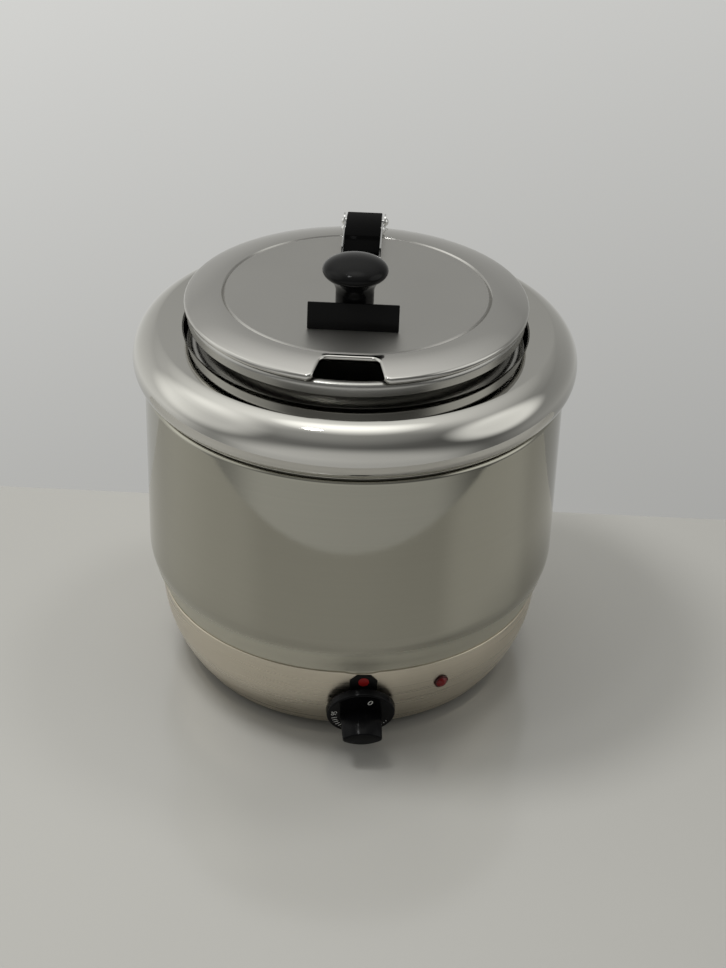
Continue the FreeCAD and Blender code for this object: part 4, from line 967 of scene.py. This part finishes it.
@dataclass
class Lid:
    """The lid with its ladle notch, knob, tag plate and hinge block."""

    wall: float = 0.9
    radius: float = 130.5
    disc_radius: float = 101.0
    crease: float = 1.3
    crease_rows: tuple[float, ...] = (0.45, 0.0, -0.45, -1.0, -1.8)
    edge_drop: float = 5.0
    lip: float = 1.6
    skirt: float = 1.1
    curl_round: float = 2.0
    curl: float = 6.5
    root: float = 105.0
    root_half: float = 20.3
    mouth_half: float = 26.0
    root_round: float = 7.0
    mouth_round: float = 5.0
    flank_rows: int = 9
    knob_forward: float = 43.0
    knob_head: float = 24.1
    knob_dome: float = 9.8
    knob_neck: float = 14.2
    knob_foot: float = 18.0
    knob_foot_edge: float = 0.6
    knob_foot_side: float = 1.6
    knob_foot_round: float = 1.0
    knob_flare: float = -0.16
    knob_neck_low: float = 11.0
    knob_neck_high: float = 21.0
    knob_throat: float = -0.10
    knob_undercut: int = -35
    knob_step: int = 5
    tag_width: float = 67.0
    tag_height: float = 20.0
    tag_wall: float = 2.0
    tag_lean: float = 13.0
    tag_corner: float = 0.8
    tag_soft: float = 0.45
    tongue_width: float = 34.0
    tongue_inset: float = 1.4
    tongue_corner: float = 6.0
    tongue_soft: float = 0.4
    block_soft: float = 0.7
    block_lift: float = 1.2
    knuckle: float = 7.0
    block_step: float = 2.6
    block_step_back: float = 86.0

    def build(self) -> None:
        """Build the lid's pieces and dress its brackets and small fixings."""
        self.build_plate()
        self.build_knob()
        self.build_tag()
        self.build_block()
        build_pin("bracket_pin", "block_pin")
        dress(BRIGHT, "lid_bracket", "lid_rivets", "knob_washer", "knob_screw")

    def plan(self) -> list[Corner]:
        """The lid's outline from above, with the ladle notch at the front.

        Returns:
            The outline as (across, up, bow).
        """
        mouth_back = math.sqrt(self.radius ** 2 - self.mouth_half ** 2)
        tangent = Vector((mouth_back, self.mouth_half)) / self.radius
        past = Vector((self.mouth_half, -mouth_back)) + tangent * self.mouth_round * 3
        notch = rounded([
            (-past.x, past.y),
            (-self.mouth_half, -mouth_back, self.mouth_round),
            (-self.root_half, -self.root, self.root_round),
            (self.root_half, -self.root, self.root_round),
            (self.mouth_half, -mouth_back, self.mouth_round),
            (past.x, past.y),
        ])[1:-1]
        ends = [Vector(notch[0][:2]).normalized(), Vector(notch[-1][:2]).normalized()]
        half_turn = math.pi - ends[1].angle(Vector((0.0, -1.0)))
        bow = math.tan(half_turn / 4.0) / 2.0
        notch[-1] = (*(ends[1] * self.radius), bow)
        notch[0] = (*(ends[0] * self.radius), notch[0][2])
        return notch + [(0.0, self.radius, bow)]

    def level(self, spot: Vector) -> float:
        """Height of the lid's surface, measured from the disc.

        Args:
            spot: A point of the lid.

        Returns:
            The height over that point, 0 on the disc and falling along the flank.
        """
        flank = self.disc_radius + self.crease
        share = max(0.0, spot.xy.length - flank) / (self.radius - flank)
        return -self.edge_drop * share * share

    def inset(
        self, mesh: bmesh.types.BMesh, face: bmesh.types.BMFace, step: float, fall: float
    ) -> None:
        """Draw a face in by a step.

        Args:
            mesh: The plate so far.
            face: The face.
            step: How far its edge moves in.
            fall: How far below the lid's own surface it comes to lie.
        """
        bmesh.ops.inset_region(mesh, faces=[face], thickness=step, use_even_offset=True)
        for vert in face.verts:
            vert.co.z = self.level(vert.co) - fall

    def ring(
        self, mesh: bmesh.types.BMesh, face: bmesh.types.BMFace,
        radius: Callable[[float], float], fall: float = 0.0,
    ) -> None:
        """Draw a face in to a new radius.

        Args:
            mesh: The plate so far.
            face: The face.
            radius: Gives a point's new radius from its old one.
            fall: How far below the lid's own surface the face comes to lie.
        """
        bmesh.ops.inset_region(mesh, faces=[face], thickness=MERGE, use_even_offset=False)
        for vert in face.verts:
            vert.co.xy = vert.co.xy.normalized() * radius(vert.co.xy.length)
            vert.co.z = self.level(vert.co) - fall

    def build_plate(self) -> None:
        """The pressed plate: flat disc, crease, convex flank, rounded lip and curled edge."""
        mesh = bmesh.new()
        verts = [mesh.verts.new((point.x, point.y, 0.0)) for point in outline(self.plan())]
        bottom = mesh.faces.new(verts)
        grown = bmesh.ops.extrude_face_region(mesh, geom=[bottom])
        top = next(item for item in grown["geom"] if isinstance(item, bmesh.types.BMFace))
        bmesh.ops.recalc_face_normals(mesh, faces=mesh.faces)
        for vert in bottom.verts:
            vert.co.z = self.level(vert.co) - self.lip - self.skirt
        for vert in top.verts:
            vert.co.z = self.level(vert.co) - self.lip
        self.roll(mesh, top, self.lip, 0.0, 1.0)
        self.roll(mesh, bottom, self.curl_round, self.lip + self.skirt + self.curl_round, -1.0)
        floor = self.lip + self.skirt + self.curl_round
        self.inset(mesh, bottom, self.curl - self.curl_round, floor)
        bmesh.ops.delete(mesh, geom=[bottom], context="FACES_ONLY")
        flank = self.disc_radius + self.crease
        for left in range(self.flank_rows, 0, -1):
            self.ring(mesh, top, lambda now: now + (flank - now) / left)
        for part in self.crease_rows:
            fall = self.crease * (1.0 + math.cos(math.pi * max(-1.0, part))) / 2.0
            self.ring(mesh, top, lambda now: self.disc_radius + self.crease * part, fall)
        high = box_mm("lid_plate")[1].z
        plate = finished("lid_pressing", mesh, Matrix.Translation((0, 0, high)))
        sheet = plate.modifiers.new("sheet", "SOLIDIFY")
        sheet.thickness = self.wall * MM
        sheet.offset = -1.0
        fit(plate, LID_POLISH, "lid_plate")

    def roll(
        self, mesh: bmesh.types.BMesh, face: bmesh.types.BMFace, radius: float, end: float,
        side: float, steps: int = 4,
    ) -> None:
        """Round a rim over a quarter circle.

        Args:
            mesh: The plate so far.
            face: The face inside the rim.
            radius: Radius of the rounding.
            end: How far below the lid's surface the rounding ends.
            side: 1 where it rises towards its end, -1 where it falls.
            steps: Rows of faces over the quarter.
        """
        before = 0.0
        for step in range(1, steps + 1):
            angle = math.pi / 2 * step / steps
            reach = radius * (1.0 - math.cos(angle))
            fall = end + side * radius * (1.0 - math.sin(angle))
            self.inset(mesh, face, reach - before, fall)
            before = reach

    def build_knob(self) -> None:
        """The mushroom knob, with a domed head, a plain neck and a flared foot."""
        low, high = box_mm("lid_knob")
        tall = high.z - low.z
        head = self.knob_head
        neck = self.knob_neck
        middle = tall - self.knob_dome
        side = self.knob_foot_side
        turns = [math.radians(angle) for angle in range(self.knob_undercut, 90, self.knob_step)]
        knob = spun([
            (0, 0),
            (self.knob_foot - self.knob_foot_edge, 0, QUARTER),
            (self.knob_foot, self.knob_foot_edge),
            (self.knob_foot, side, QUARTER),
            (self.knob_foot - self.knob_foot_round, side + self.knob_foot_round, self.knob_flare),
            (neck, self.knob_neck_low),
            (neck, self.knob_neck_high, self.knob_throat),
            *((head * math.cos(turn), middle + self.knob_dome * math.sin(turn)) for turn in turns),
            (0, tall),
        ])
        place = Matrix.Translation((0, -self.knob_forward, low.z))
        fit(finished("mushroom_knob", knob, place), KNOB_BLACK, "lid_knob")

    def build_tag(self) -> None:
        """The bare tag plate, leaning back, on the tongue that the knob clamps."""
        low, high = box_mm("tag_plate")
        upright = self.plate_plan(self.tag_width, 0.0, self.tag_height, self.tag_corner)
        face = slab(upright, self.tag_wall, self.tag_soft)
        lean = Matrix.Rotation(math.radians(90.0 - self.tag_lean), 4, "X")
        lift = self.tag_wall * math.sin(math.radians(self.tag_lean))
        place = Matrix.Translation((0, low.y, low.z + lift)) @ lean
        moved(face, place @ Matrix.Translation((0, 0, -self.tag_wall)))
        front = low.y + self.tongue_inset
        lying = self.plate_plan(self.tongue_width, front, high.y, self.tongue_corner)
        tongue = slab(lying, self.tag_wall, self.tongue_soft)
        moved(tongue, Matrix.Translation((0, 0, low.z)))
        fit(finished("bare_tag", joined(face, tongue)), TAG_BLACK, "tag_plate")

    @staticmethod
    def plate_plan(width: float, start: float, end: float, corner: float) -> list[Corner]:
        """The outline of a plate with rounded corners, even about the middle.

        Args:
            width: Its whole width.
            start: Where it begins along its length.
            end: Where it ends.
            corner: Radius of its corners.

        Returns:
            The outline as (across, up, bow).
        """
        half = width / 2
        corners = [(-half, start), (half, start), (half, end), (-half, end)]
        return rounded([(*spot, corner) for spot in corners])

    def build_block(self) -> None:
        """The moulded hinge block: a stepped front, a flat crown and a round knuckle."""
        low, high = box_mm("hinge_block")
        back, level = (value / MM for value in joint_row("lid_hinge")["pos_m"][1:])
        knuckle = self.knuckle
        floor = box_mm("lid_bracket")[0].z + self.block_lift
        shelf = high.z - self.block_step
        step = self.block_step_back
        side = slab([
            (low.y, shelf - self.block_step / 2),
            (low.y, floor),
            (back - knuckle, floor),
            (back - knuckle, level, QUARTER),
            (back, level - knuckle, QUARTER),
            (back + knuckle, level, QUARTER),
            (back, level + knuckle),
            (back - knuckle * 2, high.z),
            (step, high.z),
            (step - self.block_step, shelf),
            (low.y + self.block_step, shelf),
        ], high.x - low.x, self.block_soft)
        stand = Matrix(((0, 0, 1, low.x), (1, 0, 0, 0), (0, 1, 0, 0), (0, 0, 0, 1)))
        fit(finished("moulded_block", side, stand), BLOCK_BLACK, "hinge_block")


@dataclass
class Controls:
    """The heat dial with its marks, the pointer plate, the lamp and the cable gland."""

    housing: Housing
    skirt_radius: float = 26.6
    skirt_low: float = 2.0
    skirt: float = 6.5
    recess_radius: float = 9.6
    recess: float = 4.2
    soft: float = 1.0
    grip_width: float = 32.0
    grip_thickness: float = 16.0
    grip_tip: float = 4.0
    grip_height: float = 22.5
    grip_taper: float = 0.93
    print_depth: float = 0.06
    numerals: tuple[tuple[str, float, float, float], ...] = (
        ("0", 8.0, 22.0, 17.0), ("95", 6.0, -83.0, 20.5),
    )
    tick_half: float = 0.35
    tick_least: float = 1.2
    tick_growth: float = 3.0
    tick_circle: float = 22.7
    tick_first: float = -100.0
    tick_last: float = -244.0
    ticks: int = 19
    dot_radius: float = 4.0
    dot_level: float = 63.46
    dot_azimuth: float = 7.04
    dot_rise: float = 0.5
    pointer_wall: float = 1.25
    lamp_level: float = 50.5
    lamp_azimuth: float = 31.2
    lens_radius: float = 5.8
    lens_rise: float = 4.0
    lens_rim: float = 1.0
    lens_seat: float = 0.3
    lens_wall: float = 0.9
    bezel_rise: float = 1.5
    bezel_round: float = 0.5
    gland_level: float = 36.0
    gland_flange: float = 11.0
    gland_flange_length: float = 6.5
    gland_length: float = 15.0
    gland_bore: float = 3.8
    gland_inside: float = -6.8
    gland_stem: float = 7.5
    gland_seat: float = 0.3
    gland_edge: float = 0.6
    gland_round: float = 1.0
    gland_shoulder: float = 8.5
    gland_nose: float = 1.6
    gland_mouth: float = 0.4

    def build(self) -> None:
        """Build the controls and dress the pointer plate."""
        self.build_dial()
        self.build_marks()
        self.build_dot()
        self.build_lamp()
        self.build_gland()
        dress(BLACK_PLASTIC, "pointer_plate")

    def dial_frame(self) -> Matrix:
        """The dial's frame, from its joint: Z outwards, Y up."""
        joint = joint_row("dial_turn")
        return face_frame(Vector(joint["pos_m"]) / MM, -Vector(joint["axis"]))

    def build_dial(self) -> None:
        """The dial: a round skirt with a lens-shaped grip across it."""
        top = self.skirt_low + self.skirt
        rim = self.skirt_radius
        skirt = spun([
            (0, self.recess),
            (self.recess_radius, self.recess),
            (self.recess_radius, self.skirt_low),
            (rim - self.soft, self.skirt_low, QUARTER),
            (rim, self.skirt_low + self.soft),
            (rim - self.soft / 2, top - self.soft, QUARTER),
            (rim - self.soft * 2, top),
            (0, top),
        ], SMALL_ROUND * 2)
        half = self.grip_width / 2
        tip = self.grip_tip / 2
        bow = (self.grip_thickness - self.grip_tip) / (self.grip_width * 2)
        grip = slab([
            (-half, -tip, bow), (half, -tip), (half, tip, bow), (-half, tip),
        ], self.grip_height + self.soft, self.soft, self.grip_taper)
        moved(grip, Matrix.Translation((0, 0, top - self.soft)))
        dial = finished("heat_dial", joined(skirt, grip), self.dial_frame())
        fit(dial, GLOSS_BLACK, "dial_knob")

    def on_skirt(self, angle: float, radius: float) -> Matrix:
        """A place on the skirt's face, at degrees clockwise from the top, upright there."""
        turn = Matrix.Rotation(-math.radians(angle), 4, "Z")
        return turn @ Matrix.Translation((0, radius, self.skirt_low + self.skirt))

    def numeral(self, text: str, size: float, angle: float, radius: float) -> bmesh.types.BMesh:
        """A printed number on the skirt.

        Args:
            text: The number.
            size: The height of its line.
            angle: Degrees clockwise from the top of the dial.
            radius: Distance of its middle from the dial's axis.

        Returns:
            The number's mesh, in the dial's frame.
        """
        curve = bpy.data.curves.new("numeral", "FONT")
        curve.body = text
        curve.size = size
        curve.align_x = "CENTER"
        curve.align_y = "CENTER"
        curve.extrude = self.print_depth
        holder = bpy.data.objects.new("numeral", curve)
        data = bpy.data.meshes.new_from_object(holder)
        mesh = bmesh.new()
        mesh.from_mesh(data)
        bpy.data.objects.remove(holder)
        bpy.data.meshes.remove(data)
        return moved(mesh, self.on_skirt(angle, radius))

    def build_marks(self) -> None:
        """The print on the dial: an off mark, the hottest setting and a growing scale."""
        marks = bmesh.new()
        for numeral in self.numerals:
            joined(marks, self.numeral(*numeral))
        half = self.tick_half
        for index in range(self.ticks):
            share = index / (self.ticks - 1)
            angle = self.tick_first + (self.tick_last - self.tick_first) * share
            long = self.tick_least + self.tick_growth * (1.0 - share)
            end = long / 2
            tick = slab([(-half, -end), (half, -end), (half, end), (-half, end)], self.print_depth)
            joined(marks, moved(tick, self.on_skirt(angle, self.tick_circle - end)))
        bmesh.ops.recalc_face_normals(marks, faces=marks.faces)
        print_piece = finished("dial_marks", marks, self.dial_frame())
        fit(print_piece, WHITE_PRINT, "dial_knob")

    def build_dot(self) -> None:
        """The red dot on the pointer plate, slightly domed."""
        dot = spun([
            (0, 0),
            (self.dot_radius, 0),
            (self.dot_radius, self.dot_rise / 2, crown(self.dot_radius, self.dot_rise / 2)),
            (0, self.dot_rise),
        ], SMALL_ROUND)
        place = self.housing.face(self.dot_level, self.dot_azimuth)
        place = place @ Matrix.Translation((0, 0, self.pointer_wall))
        fit(finished("pointer_mark", dot, place), RED_PRINT, "pointer_dot")

    def build_lamp(self) -> None:
        """The lamp's red lens, domed within a dark rim."""
        rim = self.lens_radius
        dome = rim - self.lens_rim
        place = self.housing.face(self.lamp_level, self.lamp_azimuth)
        seat = self.lens_seat
        lens = spun([
            (0, seat),
            (dome, seat),
            (dome, seat + self.lens_wall, crown(dome, self.lens_rise - self.lens_wall)),
            (0, seat + self.lens_rise),
        ], SMALL_ROUND)
        fit(finished("lamp_dome", lens, place), RED_LENS, "lamp_lens")
        bezel = spun([
            (dome, seat),
            (rim, seat),
            (rim, self.bezel_rise - self.bezel_round, QUARTER),
            (rim - self.bezel_round, self.bezel_rise),
            (dome, self.bezel_rise),
        ], SMALL_ROUND)
        fit(finished("lamp_rim", bezel, place), RED_DARK, "lamp_lens")

    def build_gland(self) -> None:
        """The cable gland, with a round flange and a tapered snout."""
        flange = self.gland_flange
        length = self.gland_flange_length
        seat = self.gland_seat
        bore = self.gland_bore
        nose = bore + self.gland_nose
        mouth = self.gland_length - self.gland_mouth
        gland = spun([
            (bore, self.gland_inside),
            (self.gland_stem, self.gland_inside),
            (self.gland_stem, seat),
            (flange - self.gland_edge, seat, QUARTER),
            (flange, seat + self.gland_edge),
            (flange, length - self.gland_round, QUARTER),
            (flange - self.gland_round, length),
            (self.gland_shoulder, length, QUARTER / 2),
            (nose, mouth, QUARTER),
            (nose - self.gland_edge, self.gland_length),
            (bore + self.gland_mouth, self.gland_length, QUARTER),
            (bore, mouth),
        ], SMALL_ROUND)
        place = self.housing.face(self.gland_level, 180.0)
        fit(finished("gland_body", gland, place), BLACK_PLASTIC, "cable_gland")


@dataclass
class Interior:
    """What sits inside the base, in the frame's own shapes."""

    finishes: dict[str, tuple[Finish, tuple[str, ...]]] = field(default_factory=lambda: {
        "fixings": (ZINC, (
            "foot_screws", "foot_nuts", "base_screws", "heater_clamp", "clamp_stud", "clamp_nut",
            "thermostat_nut", "terminal_screws", "dial_spindle",
        )),
        "bottom": (BLACK_SHEET, ("floor_plate",)),
        "heater": (SHEATH, ("heating_element",)),
        "sensor": (COPPER, ("sensor_bulb", "capillary_tube")),
        "casings": (WHITE_PLASTIC, ("thermostat_body", "terminal_block")),
        "mouldings": (BLACK_PLASTIC, ("thermal_cutout", "lamp_body", "lamp_nut", "gland_nut")),
    })

    def build(self) -> None:
        """Dress every inner piece."""
        for finish, nodes in self.finishes.values():
            dress(finish, *nodes)


@dataclass(frozen=True)
class StudioLamp:
    """One round ceiling lamp: its place and size in millimetres, and whether gloss shows it."""

    name: str
    place: tuple[float, float, float]
    power: float
    size: float
    mirrored: bool


@dataclass(frozen=True)
class Glow:
    """A soft bright patch of the studio's walls, in cosines of the angle from its middle."""

    way: tuple[float, float, float]
    inner: float
    outer: float
    strength: float


@dataclass
class Studio:
    """The floor, the light and the camera at the photograph's viewing angle."""

    distance: float = 1360.7
    height: float = 984.0
    swing: float = 2.0
    yaw: float = 0.385
    pitch: float = 31.634
    roll: float = 1.814
    focal_pixels: float = 2000.0
    frame_pixels: float = 968.0
    sensor: float = 36.0
    floor_radius: float = 640.0
    floor_front: float = 442.0
    floor_back: float = 205.0
    floor_depth: float = 24.0
    floor_soft: float = 2.0
    floor_tones: tuple[Colour, Colour] = ((0.38, 0.373, 0.35), (0.395, 0.388, 0.365))
    floor_cloud: Colour = (3.0, 3.0, 3.0)
    floor_roughness: float = 0.17
    floor_shine: float = 0.8
    wall_tint: Colour = (1.0, 1.0, 0.97)
    left_gain: float = 0.42
    front_gain: float = 0.36
    front_reach: tuple[float, float] = (-0.40, 0.25)
    aim_level: float = 100.0
    sight: float = 20.0
    lamps: tuple[StudioLamp, ...] = (
        StudioLamp("left_lamp", (-480.0, -60.0, 1500.0), 10.0, 320.0, False),
        StudioLamp("right_lamp", (380.0, 260.0, 1700.0), 4.0, 320.0, False),
        StudioLamp("spark_lamp", (-260.0, -300.0, 1500.0), 0.9, 130.0, True),
    )
    bands: tuple[tuple[float, float], ...] = (
        (-1.0, 0.30), (-0.52, 0.42), (-0.30, 0.60), (0.0, 0.52), (0.30, 0.46), (0.42, 0.42), (0.56, 0.48),
        (0.80, 0.85), (0.93, 1.0), (1.0, 2.2),
    )
    glows: tuple[Glow, ...] = (
        Glow((-0.95, -0.10, 0.45), 0.95, 0.78, 0.50),
        Glow((0.95, -0.12, 0.42), 0.97, 0.85, 0.80),
        Glow((0.0, -0.80, -0.60), 0.80, 0.40, 0.38),
    )

    def build(self) -> None:
        """Set out the floor, the world, the lights and the camera."""
        bpy.context.scene.view_settings.view_transform = "Standard"
        self.build_floor()
        self.build_world()
        self.build_lights()
        self.build_camera()

    def build_floor(self) -> None:
        """A pale table top, a little glossy, straight behind the kettle and round in front."""
        middle = self.floor_radius - self.floor_front
        top = slab([
            (-self.floor_radius, self.floor_back), (-self.floor_radius, middle, 0.5),
            (self.floor_radius, middle), (self.floor_radius, self.floor_back),
        ], self.floor_depth, self.floor_soft)
        piece = finished("table_top", top, Matrix.Translation((0, 0, -self.floor_depth)))
        shader = Shader("table_paint")
        shader.set(
            Base_Color=shader.blend(shader.noise(self.floor_cloud), *self.floor_tones),
            Roughness=self.floor_roughness,
            Specular_IOR_Level=self.floor_shine,
        )
        piece.data.materials.append(shader.material)

    def build_world(self) -> None:
        """Pale walls, darker towards the camera, with soft bright patches."""
        world = bpy.data.worlds.new("studio")
        world.use_nodes = True
        bpy.context.scene.world = world
        nodes = Nodes(world.node_tree)
        place = nodes.add("TexCoord").outputs["Generated"]
        split = nodes.add("SeparateXYZ", {"Vector": place})
        ramp = nodes.add("ValToRGB", {"Fac": nodes.ranged(split.outputs["Z"], -1.0, 1.0, 0.0, 1.0)})
        stops = ramp.color_ramp.elements
        while len(stops) < len(self.bands):
            stops.new(0.5)
        for stop, (height, tone) in zip(stops, self.bands):
            stop.position = (height + 1.0) / 2.0
            stop.color = (tone, tone, tone, 1.0)
        left = nodes.ranged(split.outputs["X"], -1.0, 1.0, 1.0 + self.left_gain, 1.0 - self.left_gain)
        front = nodes.ranged(split.outputs["Y"], *self.front_reach, self.front_gain, 1.0, "SMOOTHSTEP")
        walls = nodes.combined("MULTIPLY", left, front)
        light = nodes.combined("MULTIPLY", ramp.outputs["Color"], walls)
        for glow in self.glows:
            way = Vector(glow.way).normalized()
            near = nodes.add("VectorMath", {0: place, 1: way}, operation="DOT_PRODUCT").outputs["Value"]
            patch = nodes.ranged(near, glow.outer, glow.inner, 0.0, glow.strength, "SMOOTHSTEP")
            light = nodes.combined("ADD", light, patch)
        ground = nodes.tree.nodes["Background"]
        nodes.feed(ground, "Color", (*self.wall_tint, 1.0))
        nodes.feed(ground, "Strength", light)

    def build_lights(self) -> None:
        """Round ceiling lamps: two for the shadows, and a small one that the gloss shows."""
        for plan in self.lamps:
            light = bpy.data.lights.new(plan.name, "AREA")
            light.shape = "DISK"
            light.size = plan.size * MM
            light.energy = plan.power
            lamp = bpy.data.objects.new(plan.name, light)
            spot = Vector(plan.place)
            aim = Vector((0, 0, self.aim_level)) - spot
            lamp.matrix_world = (
                Matrix.Translation(spot * MM) @ aim.to_track_quat("-Z", "Y").to_matrix().to_4x4()
            )
            lamp.visible_glossy = plan.mirrored
            bpy.context.scene.collection.objects.link(lamp)

    def build_camera(self) -> None:
        """The camera fitted to the circles of the collar, lid and seam."""
        turn = Matrix.Rotation(math.radians(self.swing), 3, "Z")
        yaw = math.radians(self.yaw)
        pitch = math.radians(self.pitch)
        ahead = turn @ Vector((
            math.sin(yaw) * math.cos(pitch), math.cos(yaw) * math.cos(pitch), -math.sin(pitch),
        ))
        level = ahead.cross(Vector(UPRIGHT)).normalized()
        upright = level.cross(ahead)
        roll = math.radians(self.roll)
        right = math.cos(roll) * level + math.sin(roll) * upright
        up = math.cos(roll) * upright - math.sin(roll) * level
        data = bpy.data.cameras.new("photo_camera")
        data.sensor_width = self.sensor
        data.lens = self.focal_pixels / self.frame_pixels * self.sensor
        data.clip_end = self.sight
        camera = bpy.data.objects.new("photo_camera", data)
        spot = turn @ Vector((0, -self.distance, self.height)) * MM
        camera.matrix_world = (
            Matrix.Translation(spot) @ Matrix((right, up, -ahead)).transposed().to_4x4()
        )
        bpy.context.scene.collection.objects.link(camera)
        bpy.context.scene.camera = camera


def main() -> None:
    """Build the dressed kettle and its studio."""
    logging.basicConfig(level=logging.INFO, format="%(name)s: %(message)s")
    housing = Housing()
    for assembly in (housing, Pot(), Collar(), Lid(), Controls(housing), Interior(), Studio()):
        assembly.build()
        LOG.info("%s is built", type(assembly).__name__)


if __name__ == "__main__":
    main()
